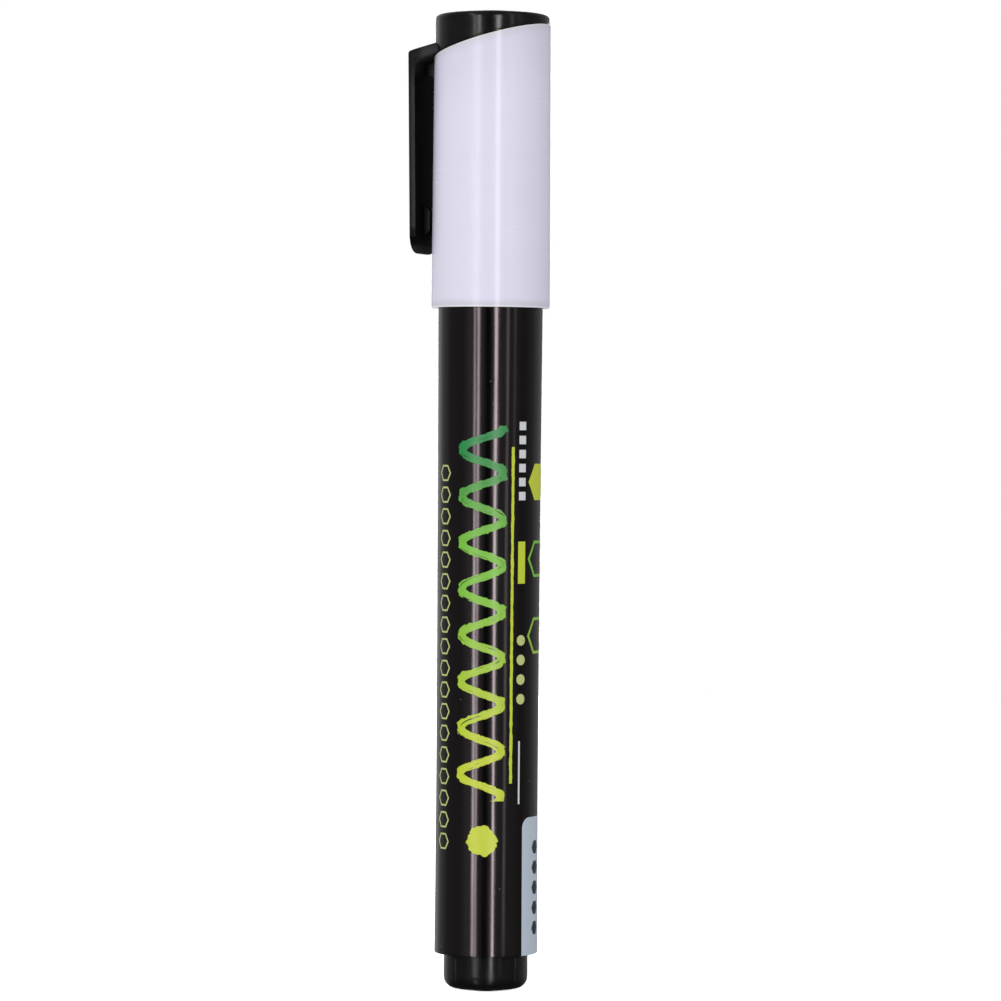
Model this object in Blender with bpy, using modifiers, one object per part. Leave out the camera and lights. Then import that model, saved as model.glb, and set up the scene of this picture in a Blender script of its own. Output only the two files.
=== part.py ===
"""Pump-valve paint marker: plugged barrel, valve and felt nib, and a cap with a clip crown.

Metres, +Z up along the pen's axis. The origin is the middle of the end plug's flat foot.
The clip is on the -X side, and the pen is symmetric about the XZ plane.
"""
import math

import bmesh
import bpy
from mathutils import Matrix, Vector

# Clearances
SEAT_GAP = 0.0003  # between faces that rest on each other
FIT_GAP = 0.0002  # around pressed and snapped fits, measured on the radius
SLIDE_GAP = 0.00025  # around pieces that slide, measured on the radius
JOIN_LAP = 0.0001  # how far a shape starts inside the shape that it is joined to

# Barrel
BARREL_LENGTH = 0.1018
BARREL_FRONT_RADIUS = 0.0076
BARREL_WAIST_RADIUS = 0.00735
BARREL_REAR_RADIUS = 0.00743
BARREL_WAIST_HEIGHT = 0.0248  # above the barrel's rear end
BARREL_EDGE_RADIUS = 0.0004  # rounding of the rear edge
BARREL_RIM_CHAMFER = 0.0003
CHAMBER_RADIUS = 0.0059

# End plug
PLUG_RADIUS = 0.00606
PLUG_TAIL = 0.0052  # length that stands out of the barrel
PLUG_INSERT = 0.0117  # length inside the barrel
PLUG_EDGE_RADIUS = 0.0017
PLUG_WALL = 0.0013
PLUG_FLOOR = 0.0022

# Sealing beads on pressed-in pieces
BEAD_RISE = 0.0001
BEAD_LENGTH = 0.0012
BEAD_FROM_END = 0.0038  # from the pushed-in end to the first bead
BEAD_SPACING = 0.0041
LEAD_IN = 0.0004  # chamfer where a piece is pushed in

# Nib holder
HOLDER_INSERT = 0.0117
FLANGE_RADIUS = 0.00735
FLANGE_HEIGHT = 0.0012
NECK_RADIUS = 0.006
NECK_LENGTH = 0.0036
SNAP_RING_RISE = 0.0007
SNAP_RING_LENGTH = 0.001
SHOULDER_LENGTH = 0.0009
COLLAR_RADIUS = 0.0049
COLLAR_LENGTH = 0.0024
NOSE_RADIUS = 0.0042
NOSE_LENGTH = 0.0021
HOLDER_FLOOR = 0.0012  # wall between the nib's bore and the valve's pocket
AIR_CHANNEL_COUNT = 6
AIR_CHANNEL_WIDTH = 0.0007
AIR_CHANNEL_DEPTH = 0.00045

# Nib
NIB_RADIUS = 0.003
NIB_LENGTH = 0.018
NIB_OUT = 0.0068  # length that stands out of the holder
NIB_TAPER = 0.0042  # length of the bullet end
CHISEL_LAND = 0.0017  # flat left between the two bevels of the chisel end
CHISEL_LENGTH = 0.0035

# Valve
STROKE = 0.002  # how far the nib is pressed in to open the valve
STROKE_SPARE = 0.0004
HOUSING_RADIUS = 0.0042
HOUSING_WALL = 0.0009
HOUSING_LENGTH = 0.0112
SEAT_WALL = 0.0014
SEAT_CONE = 0.0007  # height of the conical seat
STEM_RADIUS = 0.0011
STEM_HOLE_RADIUS = 0.0015
HEAD_RADIUS = 0.0025
HEAD_LENGTH = 0.0012
TAIL_RADIUS = 0.001
TAIL_LENGTH = 0.0045
RETAINER_SLEEVE = 0.003  # length of the retainer inside the housing
RETAINER_WALL = 0.0006
RETAINER_FLOOR = 0.0014
PORT_RADIUS = 0.0012
PORT_SLOT_WIDTH = 0.0009
PORT_SLOT_COUNT = 4

# Valve spring
WIRE_DIAMETER = 0.00045
COIL_RADIUS = 0.0019  # at the middle of the wire
COIL_TURNS = 7
POINTS_PER_TURN = 10

# Mixing ball
BALL_RADIUS = 0.00275

# Cap
CAP_OVERLAP = 0.0091  # length of the barrel that the cap covers
CAP_LENGTH = 0.0384  # from the mouth to the slanted seam, on the axis
CAP_MOUTH_RADIUS = 0.00854
CAP_TOP_RADIUS = 0.00835
CAP_MOUTH_EDGE = 0.00025
CAP_TOP_WALL = 0.0009
CAP_LEDGE = 0.0004  # width of the ledge that carries the inner cap
CAP_LEDGE_HEIGHT = 0.001
CAP_BEAD_LENGTH = 0.001
SEAM_TILT_DEG = 15.8
SEAM_GAP = 0.00025

# Inner cap
LINER_FLANGE = 0.0011
LINER_WALL = 0.0008

# Clip crown
CROWN_INSET = 0.00015  # how far the crown's side lies inside the cap's
CROWN_HEIGHT = 0.0037  # from the seam to the top, on the axis
CROWN_RIM_RADIUS = 0.0007
CROWN_ROOF = 0.0015
CROWN_WALL = 0.0014
SKIRT_LENGTH = 0.0034  # below the lowest point of the seam
CLIP_WIDTH = 0.0097
CLIP_THICKNESS = 0.0011
CLIP_GAP = 0.00182  # from the cap to the clip at its root
CLIP_TIP_GAP = 0.00125  # from the cap to the clip at its tip
CLIP_LENGTH = 0.02895
CLIP_TIP_RADIUS = 0.0032
ROOT_RISE = 0.00154  # top of the clip above the seam
ROOT_TILT_DEG = 17.9  # slope of the root's top
ROOT_DROP = 0.0004  # underside of the clip's root below the seam
ROOT_TOP_WIDTH = 0.007  # where the root meets the crown
ROOT_FOOT_WIDTH = 0.0102
GUSSET_WIDTH = 0.0009
GUSSET_LENGTH = 0.0017
GRIP_WIDTH = 0.002
GRIP_LENGTH = 0.006
GRIP_END = 0.0016  # from the clip's tip to the grip's end
GRIP_RAMP = 0.00135

# Facets
OUTER_STEPS = 48
INNER_STEPS = 32
ARC_STEPS = 5
SIDE_STEPS = 8  # along the barrel's waisted side

# Heights of the barrel and end plug
barrel_rear = PLUG_TAIL
barrel_front = barrel_rear + BARREL_LENGTH
rear_bore = PLUG_RADIUS + FIT_GAP
plug_top = barrel_rear + PLUG_INSERT
plug_stop = plug_top + SEAT_GAP

# Heights and radii of the nib holder, from its insert up to its nose
insert_radius = rear_bore - FIT_GAP
insert_bottom = barrel_front - HOLDER_INSERT
flange_bottom = barrel_front + SEAT_GAP
flange_top = flange_bottom + FLANGE_HEIGHT
neck_top = flange_top + NECK_LENGTH
shoulder_top = neck_top + SHOULDER_LENGTH
collar_top = shoulder_top + COLLAR_LENGTH
nose_top = collar_top + NOSE_LENGTH
snap_ring_middle = neck_top - SNAP_RING_LENGTH
nib_bore = NIB_RADIUS + SLIDE_GAP

# Nib and valve, from the nib's tip down
nib_tip = nose_top + NIB_OUT
nib_rear = nib_tip - NIB_LENGTH
holder_floor_top = nib_rear - STROKE - STROKE_SPARE
pocket_top = holder_floor_top - HOLDER_FLOOR
pocket_radius = HOUSING_RADIUS + FIT_GAP
housing_top = pocket_top - SEAT_GAP
housing_bottom = housing_top - HOUSING_LENGTH
housing_chamber = HOUSING_RADIUS - HOUSING_WALL
valve_seat = housing_top - SEAT_WALL
stem_top = nib_rear - SEAT_GAP
head_top = valve_seat - SEAT_GAP
head_bottom = head_top - HEAD_LENGTH
tail_bottom = head_bottom - TAIL_LENGTH
retainer_top = housing_bottom + RETAINER_SLEEVE
retainer_flange_top = housing_bottom - SEAT_GAP
retainer_bottom = retainer_flange_top - RETAINER_FLOOR
retainer_radius = housing_chamber - FIT_GAP
retainer_bore = retainer_radius - RETAINER_WALL

# Ball, resting on the floor of the end plug's cup
ball_height = PLUG_FLOOR + SEAT_GAP + BALL_RADIUS

# Cap, from its mouth up to the slanted seam
cap_mouth = barrel_front - CAP_OVERLAP
seam_height = cap_mouth + CAP_LENGTH
seam_slope = math.tan(math.radians(SEAM_TILT_DEG))
cap_taper = (CAP_TOP_RADIUS - CAP_MOUTH_RADIUS) / CAP_LENGTH
seam_low = seam_height - CAP_TOP_RADIUS * seam_slope
seam_high = seam_height + CAP_TOP_RADIUS * seam_slope
mouth_bore = max(BARREL_FRONT_RADIUS, FLANGE_RADIUS) + SLIDE_GAP
crown_bore = CAP_TOP_RADIUS - CAP_TOP_WALL
ledge_bore = crown_bore - CAP_LEDGE
bead_bore = NECK_RADIUS + SNAP_RING_RISE + SLIDE_GAP
bead_middle = flange_top + SEAT_GAP + CAP_BEAD_LENGTH

# Crown and inner cap, hung from the seam
crown_top = seam_height + CROWN_HEIGHT
crown_radius = CAP_TOP_RADIUS - CROWN_INSET
skirt_radius = crown_bore - FIT_GAP
skirt_bottom = seam_low - SKIRT_LENGTH
liner_top = skirt_bottom - SEAT_GAP
liner_roof = liner_top - LINER_FLANGE
cap_ledge = liner_roof - SEAT_GAP
liner_bore = COLLAR_RADIUS + SLIDE_GAP
liner_radius = liner_bore + LINER_WALL
liner_lip = shoulder_top + SEAT_GAP

# Clip, outside the cap, and how far its root reaches into the crown
clip_inner = CAP_TOP_RADIUS + CLIP_GAP
clip_outer = clip_inner + CLIP_THICKNESS
root_slope = math.tan(math.radians(ROOT_TILT_DEG))
root_inside = math.sqrt((crown_radius - FIT_GAP) ** 2 - (ROOT_FOOT_WIDTH / 2) ** 2)


def seam_at(x):
    """Height of the slanted seam plane at x. It is lowest on the clip's side."""
    return seam_height + x * seam_slope


def cap_radius_at(z):
    """Outer radius of the tapered cap at a height."""
    return CAP_MOUTH_RADIUS + cap_taper * (z - cap_mouth)


clip_top = seam_at(-clip_outer) + ROOT_RISE
clip_tip = clip_top - CLIP_LENGTH
clip_tip_inner = cap_radius_at(clip_tip) + CLIP_TIP_GAP
clip_tip_outer = clip_tip_inner + CLIP_THICKNESS


def root_top_at(x):
    """Height of the top of the clip's root at x."""
    return clip_top + (x + clip_outer) * root_slope


def root_underside_at(x):
    """Height of the underside of the clip's root at x."""
    return seam_at(x) - ROOT_DROP


for old in list(bpy.data.objects):
    bpy.data.objects.remove(old, do_unlink=True)

parts = bpy.data.collections.new("paint_marker")
cutters = bpy.data.collections.new("cutters")
bpy.context.scene.collection.children.link(parts)
bpy.context.scene.collection.children.link(cutters)


def finish(name, colour, roughness, metallic=0.0):
    """A plain Principled material."""
    material = bpy.data.materials.new(name)
    material.use_nodes = True
    shader = material.node_tree.nodes["Principled BSDF"]
    shader.inputs["Base Color"].default_value = (*colour, 1.0)
    shader.inputs["Roughness"].default_value = roughness
    shader.inputs["Metallic"].default_value = metallic
    material.diffuse_color = (*colour, 1.0)
    return material


def group(name):
    """An empty on the pen's axis that carries the pieces of one moving group."""
    empty = bpy.data.objects.new(name, None)
    parts.objects.link(empty)
    return empty


def place(ob, parent=None, material=None):
    """Puts an object in the model with its material, under the group that carries it."""
    parts.objects.link(ob)
    ob.parent = parent
    if material:
        ob.data.materials.append(material)
    return ob


def as_tool(ob):
    """Keeps an object as a shape for Boolean modifiers, outside the model."""
    cutters.objects.link(ob)
    ob.hide_render = True
    ob.display_type = "WIRE"
    return ob


def arc(centre_x, centre_y, radius, start_deg, end_deg):
    """Points along an arc, both ends included."""
    points = []
    for step in range(ARC_STEPS + 1):
        angle = math.radians(start_deg + (end_deg - start_deg) * step / ARC_STEPS)
        points.append((centre_x + radius * math.cos(angle), centre_y + radius * math.sin(angle)))
    return points


def turned(name, outline, steps, closed):
    """A turned shape. The outline of (radius, height) runs down its outer side."""
    mesh = bpy.data.meshes.new(name)
    count = len(outline)
    edges = [(i, i + 1) for i in range(count - 1)]
    if closed:
        edges.append((count - 1, 0))
    mesh.from_pydata([(radius, 0.0, height) for radius, height in outline], edges, [])
    ob = bpy.data.objects.new(name, mesh)
    screw = ob.modifiers.new("Turn", "SCREW")
    screw.steps = steps
    screw.render_steps = steps
    screw.use_merge_vertices = True
    screw.merge_threshold = 0.000001
    screw.use_smooth_shade = True
    return ob


def flat_shape(name, outline, thickness, turn):
    """A flat outline with a thickness, made a mesh and turned out of the XY plane."""
    curve = bpy.data.curves.new(name, "CURVE")
    curve.dimensions = "2D"
    curve.fill_mode = "BOTH"
    curve.extrude = thickness / 2
    spline = curve.splines.new("POLY")
    spline.points.add(len(outline) - 1)
    for point, (x, y) in zip(spline.points, outline):
        point.co = (x, y, 0.0, 1.0)
    spline.use_cyclic_u = True
    drawn = bpy.data.objects.new(name + "_outline", curve)
    cutters.objects.link(drawn)
    drawn.matrix_world = turn
    bpy.context.view_layer.update()
    mesh = solid_mesh(drawn)
    ob = bpy.data.objects.new(name, mesh)
    ob.matrix_world = turn
    bpy.data.objects.remove(drawn, do_unlink=True)
    return ob


def solid_mesh(drawn):
    """The evaluated mesh of a curve, with its caps welded on."""
    graph = bpy.context.evaluated_depsgraph_get()
    mesh = bpy.data.meshes.new_from_object(drawn.evaluated_get(graph))
    shape = bmesh.new()
    shape.from_mesh(mesh)
    bmesh.ops.remove_doubles(shape, verts=shape.verts, dist=0.000001)
    bmesh.ops.recalc_face_normals(shape, faces=shape.faces)
    shape.to_mesh(mesh)
    shape.free()
    return mesh


def boxes(name, size, placings):
    """One object of equal boxes, one for each placing matrix."""
    shape = bmesh.new()
    for placing in placings:
        bmesh.ops.create_cube(shape, size=1.0, matrix=placing @ Matrix.Diagonal((*size, 1.0)))
    mesh = bpy.data.meshes.new(name)
    shape.to_mesh(mesh)
    shape.free()
    return bpy.data.objects.new(name, mesh)


def combine(ob, tool, operation):
    """Adds a Boolean with another object."""
    boolean = ob.modifiers.new(operation.title() + "_" + tool.name, "BOOLEAN")
    boolean.operation = operation
    boolean.solver = "EXACT"
    boolean.object = tool


def bead(radius, middle):
    """Outline points of a sealing bead that stands out of a pressed-in piece."""
    half = BEAD_LENGTH / 2
    return [
        (radius, middle + half),
        (radius + BEAD_RISE, middle + half / 2),
        (radius + BEAD_RISE, middle - half / 2),
        (radius, middle - half),
    ]


SIDE_PLANE = Matrix.Rotation(math.pi / 2, 4, "X")  # outline (x, y) goes to (X, Z)
FRONT_PLANE = Matrix(((0, 0, 1, 0), (1, 0, 0, 0), (0, 1, 0, 0), (0, 0, 0, 1)))  # to (Y, Z)

pen = group("pen")
cap = group("cap")
pump = group("pump")
cap.parent = pen
pump.parent = pen

black_gloss = finish("black_gloss", (0.012, 0.012, 0.013), 0.2)
black_satin = finish("black_satin", (0.014, 0.014, 0.015), 0.38)
cap_white = finish("cap_white", (0.72, 0.71, 0.83), 0.22)
liner_natural = finish("liner_natural", (0.75, 0.75, 0.72), 0.45)
valve_white = finish("valve_white", (0.7, 0.7, 0.68), 0.45)
felt_white = finish("felt_white", (0.8, 0.79, 0.74), 0.95)
steel = finish("steel", (0.62, 0.62, 0.62), 0.25, 1.0)


def barrel_radius_at(z):
    """Outer radius: it opens gently from the waist to the front, and a little to the rear."""
    waist = barrel_rear + BARREL_WAIST_HEIGHT
    end, radius = (barrel_front, BARREL_FRONT_RADIUS) if z > waist else (barrel_rear, BARREL_REAR_RADIUS)
    return BARREL_WAIST_RADIUS + (radius - BARREL_WAIST_RADIUS) * ((z - waist) / (end - waist)) ** 2


def make_barrel():
    """Tube with a counterbore at each end, for the plug and for the nib holder."""
    top = barrel_front - BARREL_RIM_CHAMFER
    bottom = barrel_rear + BARREL_EDGE_RADIUS
    side = [top + (bottom - top) * i / SIDE_STEPS for i in range(SIDE_STEPS)]
    outline = [(BARREL_FRONT_RADIUS - BARREL_RIM_CHAMFER, barrel_front)]
    outline += [(barrel_radius_at(z), z) for z in side]
    edge = barrel_radius_at(bottom) - BARREL_EDGE_RADIUS
    outline += arc(edge, bottom, BARREL_EDGE_RADIUS, 0, -90)
    outline += [
        (rear_bore, barrel_rear),
        (rear_bore, plug_stop),
        (CHAMBER_RADIUS, plug_stop),
        (CHAMBER_RADIUS, insert_bottom - SEAT_GAP),
        (rear_bore, insert_bottom - SEAT_GAP),
        (rear_bore, barrel_front),
    ]
    place(turned("barrel", outline, OUTER_STEPS, True), pen, black_gloss)


def make_end_plug():
    """Cup that closes the barrel's rear end, with two sealing beads on its insert."""
    cup = PLUG_RADIUS - PLUG_WALL
    outline = [
        (0.0, PLUG_FLOOR),
        (cup, PLUG_FLOOR),
        (cup, plug_top),
        (PLUG_RADIUS - LEAD_IN, plug_top),
        (PLUG_RADIUS, plug_top - LEAD_IN),
    ]
    outline += bead(PLUG_RADIUS, plug_top - BEAD_FROM_END)
    outline += bead(PLUG_RADIUS, plug_top - BEAD_FROM_END - BEAD_SPACING)
    foot = PLUG_RADIUS - PLUG_EDGE_RADIUS
    outline += arc(foot, PLUG_EDGE_RADIUS, PLUG_EDGE_RADIUS, 0, -90)
    outline.append((0.0, 0.0))
    place(turned("end_plug", outline, OUTER_STEPS, False), pen, black_satin)


def make_nib_holder():
    """Nose moulding: insert, flange, neck with a snap ring, collar and nose, bored for nib and valve."""
    ring = NECK_RADIUS + SNAP_RING_RISE
    ring_half = SNAP_RING_LENGTH / 2
    outline = [
        (NOSE_RADIUS, nose_top),
        (COLLAR_RADIUS, collar_top),
        (COLLAR_RADIUS, shoulder_top),
        (NECK_RADIUS, neck_top),
        (NECK_RADIUS, snap_ring_middle + ring_half),
        (ring, snap_ring_middle + ring_half / 3),
        (ring, snap_ring_middle - ring_half / 3),
        (NECK_RADIUS, snap_ring_middle - ring_half),
        (NECK_RADIUS, flange_top),
        (FLANGE_RADIUS, flange_top),
        (FLANGE_RADIUS, flange_bottom),
        (insert_radius, flange_bottom),
    ]
    outline += bead(insert_radius, insert_bottom + BEAD_FROM_END + BEAD_SPACING)
    outline += bead(insert_radius, insert_bottom + BEAD_FROM_END)
    outline += [
        (insert_radius, insert_bottom + LEAD_IN),
        (insert_radius - LEAD_IN, insert_bottom),
        (pocket_radius, insert_bottom),
        (pocket_radius, pocket_top),
        (STEM_HOLE_RADIUS, pocket_top),
        (STEM_HOLE_RADIUS, holder_floor_top),
        (nib_bore, holder_floor_top),
        (nib_bore, nose_top),
    ]
    holder = place(turned("nib_holder", outline, INNER_STEPS, True), pen, black_satin)
    combine(holder, air_channels(), "DIFFERENCE")


def air_channels():
    """Grooves along the nib's bore that let air back to the paint chamber."""
    length = nose_top - holder_floor_top
    reach = AIR_CHANNEL_DEPTH * 2
    placings = []
    for i in range(AIR_CHANNEL_COUNT):
        turn = Matrix.Rotation(2 * math.pi * (i + 0.5) / AIR_CHANNEL_COUNT, 4, "Z")
        middle = Vector((nib_bore, 0.0, holder_floor_top + SEAT_GAP + length / 2))
        placings.append(turn @ Matrix.Translation(middle))
    return as_tool(boxes("air_channels", (reach, AIR_CHANNEL_WIDTH, length), placings))


def make_nib():
    """Felt nib with a bullet end outside and a chisel end inside, so that it can be reversed."""
    stretch = NIB_TAPER / NIB_RADIUS
    bullet = arc(0.0, 0.0, NIB_RADIUS, 90, 0)
    outline = [(radius, nib_tip - NIB_TAPER + height * stretch) for radius, height in bullet]
    outline += [(NIB_RADIUS, nib_rear), (0.0, nib_rear)]
    nib = place(turned("nib", outline, INNER_STEPS, False), pump, felt_white)
    combine(nib, chisel_cutters(), "DIFFERENCE")


def chisel_cutters():
    """Two boxes that bevel the nib's rear end down to a narrow land."""
    lean = math.atan2(NIB_RADIUS - CHISEL_LAND / 2, CHISEL_LENGTH)
    size = NIB_RADIUS * 4
    placings = []
    for side in (-1, 1):
        edge = Matrix.Translation((0.0, side * CHISEL_LAND / 2, nib_rear))
        turn = Matrix.Rotation(-side * lean, 4, "X")
        outward = Matrix.Translation((0.0, side * size / 2, 0.0))
        placings.append(edge @ turn @ outward)
    return as_tool(boxes("chisel_cutters", (size, size, size), placings))


def make_valve_housing():
    """Sleeve with a conical seat round the plunger's stem."""
    outline = [
        (STEM_HOLE_RADIUS, housing_top),
        (HOUSING_RADIUS - LEAD_IN, housing_top),
        (HOUSING_RADIUS, housing_top - LEAD_IN),
        (HOUSING_RADIUS, housing_bottom),
        (housing_chamber, housing_bottom),
        (housing_chamber, valve_seat),
        (HEAD_RADIUS, valve_seat),
        (STEM_HOLE_RADIUS, valve_seat + SEAT_CONE),
    ]
    place(turned("valve_housing", outline, INNER_STEPS, True), pen, valve_white)


def make_valve_plunger():
    """Stem under the nib, a conical head on the seat and a tail inside the spring."""
    outline = [
        (0.0, stem_top),
        (STEM_RADIUS, stem_top),
        (STEM_RADIUS, head_top + SEAT_CONE),
        (HEAD_RADIUS, head_top),
        (HEAD_RADIUS, head_bottom),
        (TAIL_RADIUS, head_bottom),
        (TAIL_RADIUS, tail_bottom),
        (0.0, tail_bottom),
    ]
    place(turned("valve_plunger", outline, INNER_STEPS, False), pump, valve_white)


def make_spring_retainer():
    """Snap-in cap under the valve, with a floor for the spring and a cross of ink slots."""
    outline = [
        (retainer_bore, retainer_top),
        (retainer_radius, retainer_top),
        (retainer_radius, retainer_flange_top),
        (HOUSING_RADIUS, retainer_flange_top),
        (HOUSING_RADIUS, retainer_bottom),
        (PORT_RADIUS, retainer_bottom),
        (PORT_RADIUS, retainer_flange_top),
        (retainer_bore, retainer_flange_top),
    ]
    retainer = place(turned("spring_retainer", outline, INNER_STEPS, True), pen, valve_white)
    combine(retainer, ink_slots(), "DIFFERENCE")


def ink_slots():
    """Radial slots through the retainer's floor, joined to its port."""
    outer_end = retainer_bore - RETAINER_WALL / 2
    length = outer_end - PORT_RADIUS / 2
    placings = []
    for i in range(PORT_SLOT_COUNT):
        turn = Matrix.Rotation(2 * math.pi * (i + 0.5) / PORT_SLOT_COUNT, 4, "Z")
        middle = Vector((outer_end - length / 2, 0.0, retainer_bottom))
        placings.append(turn @ Matrix.Translation(middle))
    return as_tool(boxes("ink_slots", (length, PORT_SLOT_WIDTH, RETAINER_FLOOR * 3), placings))


def make_valve_spring():
    """One unbroken helix between the retainer's floor and the plunger's head."""
    bottom = retainer_flange_top + SEAT_GAP + WIRE_DIAMETER / 2
    top = head_bottom - SEAT_GAP - WIRE_DIAMETER / 2
    count = COIL_TURNS * POINTS_PER_TURN + 1
    path = []
    for i in range(count):
        turn = 2 * math.pi * i / POINTS_PER_TURN
        height = bottom + (top - bottom) * i / (count - 1)
        path.append(Vector((COIL_RADIUS * math.cos(turn), COIL_RADIUS * math.sin(turn), height)))
    curve = bpy.data.curves.new("valve_spring", "CURVE")
    curve.dimensions = "3D"
    curve.bevel_depth = WIRE_DIAMETER / 2
    curve.bevel_resolution = 1
    curve.use_fill_caps = True
    spline = curve.splines.new("POLY")
    spline.points.add(count - 1)
    for point, place_at in zip(spline.points, path):
        point.co = (*place_at, 1.0)
    place(bpy.data.objects.new("valve_spring", curve), pen, steel)
    print("valve_spring: least gap to itself %.2f mm" % (least_gap(path) * 1000))


def least_gap(path):
    """Least clear distance between points of the spring that lie over half a turn apart."""
    apart = POINTS_PER_TURN // 2 + 1
    nearest = min(
        (path[j] - path[i]).length for i in range(len(path)) for j in range(i + apart, len(path))
    )
    return nearest - WIRE_DIAMETER


def make_mixing_ball():
    """Steel ball, loose in the paint chamber."""
    shape = bmesh.new()
    bmesh.ops.create_uvsphere(shape, u_segments=20, v_segments=10, radius=BALL_RADIUS)
    mesh = bpy.data.meshes.new("mixing_ball")
    shape.to_mesh(mesh)
    shape.free()
    mesh.shade_smooth()
    ball = place(bpy.data.objects.new("mixing_ball", mesh), pen, steel)
    ball.location = (0.0, 0.0, ball_height)


def make_cap_shell():
    """Tapered tube with a snap bead and a ledge inside, its top cut along the slanted seam."""
    above = seam_high + SEAM_GAP
    bead_half = CAP_BEAD_LENGTH / 2
    ledge_bottom = cap_ledge - CAP_LEDGE_HEIGHT
    outline = [
        (cap_radius_at(above), above),
        (cap_radius_at(cap_mouth + CAP_MOUTH_EDGE), cap_mouth + CAP_MOUTH_EDGE),
        (CAP_MOUTH_RADIUS - CAP_MOUTH_EDGE, cap_mouth),
        (mouth_bore, cap_mouth),
        (mouth_bore, bead_middle - bead_half * 2),
        (bead_bore, bead_middle - bead_half),
        (bead_bore, bead_middle + bead_half),
        (crown_bore, bead_middle + bead_half * 2),
        (crown_bore, ledge_bottom - CAP_LEDGE),
        (ledge_bore, ledge_bottom),
        (ledge_bore, cap_ledge),
        (crown_bore, cap_ledge),
        (crown_bore, above),
    ]
    shell = place(turned("cap_shell", outline, OUTER_STEPS, True), cap, cap_white)
    size = CAP_MOUTH_RADIUS * 4
    tilt = Matrix.Rotation(-math.radians(SEAM_TILT_DEG), 4, "Y")
    plane = Matrix.Translation((0.0, 0.0, seam_height - SEAM_GAP / 2))
    lift = Matrix.Translation((0.0, 0.0, size / 2))
    combine(shell, as_tool(boxes("above_seam", (size, size, size), [plane @ tilt @ lift])), "DIFFERENCE")


def make_inner_cap():
    """Seal cup over the nose, hung by its flange between the cap's ledge and the crown's skirt."""
    flange = crown_bore - FIT_GAP
    outline = [
        (0.0, liner_top),
        (flange, liner_top),
        (flange, liner_roof),
        (liner_radius, liner_roof),
        (liner_radius, liner_lip),
        (liner_bore, liner_lip),
        (liner_bore, liner_roof),
        (0.0, liner_roof),
    ]
    place(turned("inner_cap", outline, INNER_STEPS, False), cap, liner_natural)


def cap_envelope():
    """The cap's outside with the seat gap added, under the crown's side of the seam."""
    shape = bmesh.new()
    low = cap_mouth
    bmesh.ops.create_cone(
        shape,
        cap_ends=True,
        segments=OUTER_STEPS,
        radius1=CAP_MOUTH_RADIUS + SEAT_GAP,
        radius2=CAP_TOP_RADIUS + SEAT_GAP,
        depth=seam_height - low,
        matrix=Matrix.Translation((0.0, 0.0, (seam_height + low) / 2)),
    )
    for vert in shape.verts:
        if vert.co.z > (seam_height + low) / 2:
            vert.co.z = seam_at(vert.co.x) + SEAM_GAP / 2
    mesh = bpy.data.meshes.new("cap_envelope")
    shape.to_mesh(mesh)
    shape.free()
    return as_tool(bpy.data.objects.new("cap_envelope", mesh))


def clip_plate():
    """Plate of the clip, leaning towards the cap and cut to a round-ended tongue."""
    outline = [
        (-clip_inner, root_top_at(-clip_inner)),
        (-clip_outer, clip_top),
        (-clip_tip_outer, clip_tip),
        (-clip_tip_inner, clip_tip),
    ]
    plate = as_tool(flat_shape("clip_plate", outline, CLIP_WIDTH, SIDE_PLANE))

    half = CLIP_WIDTH / 2
    radius = CLIP_TIP_RADIUS
    above = crown_top
    tongue = [(half, above), (-half, above)]
    tongue += arc(-half + radius, clip_tip + radius, radius, 180, 270)
    tongue += arc(half - radius, clip_tip + radius, radius, 270, 360)
    front = as_tool(flat_shape("clip_tongue", tongue, clip_outer * 4, FRONT_PLANE))
    combine(plate, front, "INTERSECT")
    return plate


def clip_root():
    """Wedge from the plate to the crown, where it is narrow at the top and wide at the foot."""
    shape = bmesh.new()
    bmesh.ops.create_cube(shape, size=1.0)
    for vert in shape.verts:
        upper = vert.co.z > 0.0
        if vert.co.x > 0.0:
            x = -root_inside
            width = ROOT_TOP_WIDTH if upper else ROOT_FOOT_WIDTH
        else:
            x = -clip_inner - CLIP_THICKNESS / 2
            width = CLIP_WIDTH - JOIN_LAP * 2
        height = root_top_at(x) - JOIN_LAP if upper else root_underside_at(x)
        vert.co = (x, math.copysign(width / 2, vert.co.y), height)
    mesh = bpy.data.meshes.new("clip_root")
    shape.to_mesh(mesh)
    shape.free()
    return as_tool(bpy.data.objects.new("clip_root", mesh))


def clip_ribs():
    """Gusset under the clip's root and grip rib near its tip, both on the clip's middle line."""
    into_plate = CLIP_THICKNESS / 2
    gusset_bottom = root_underside_at(-clip_inner) - GUSSET_LENGTH
    gusset = [
        (-CAP_TOP_RADIUS, seam_at(-CAP_TOP_RADIUS)),
        (-clip_inner - into_plate, seam_at(-clip_inner - into_plate)),
        (-clip_inner - into_plate, gusset_bottom),
        (-CAP_TOP_RADIUS, gusset_bottom),
    ]
    grip_bottom = clip_tip + GRIP_END
    grip_top = grip_bottom + GRIP_LENGTH
    base = -clip_tip_inner - into_plate
    crest = -cap_radius_at(clip_tip)
    grip = [
        (base, grip_top),
        (base, grip_bottom),
        (crest, grip_bottom + GRIP_RAMP),
        (crest, grip_top - GRIP_RAMP),
    ]
    return [
        as_tool(flat_shape("clip_gusset", gusset, GUSSET_WIDTH, SIDE_PLANE)),
        as_tool(flat_shape("clip_grip", grip, GRIP_WIDTH, SIDE_PLANE)),
    ]


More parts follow.
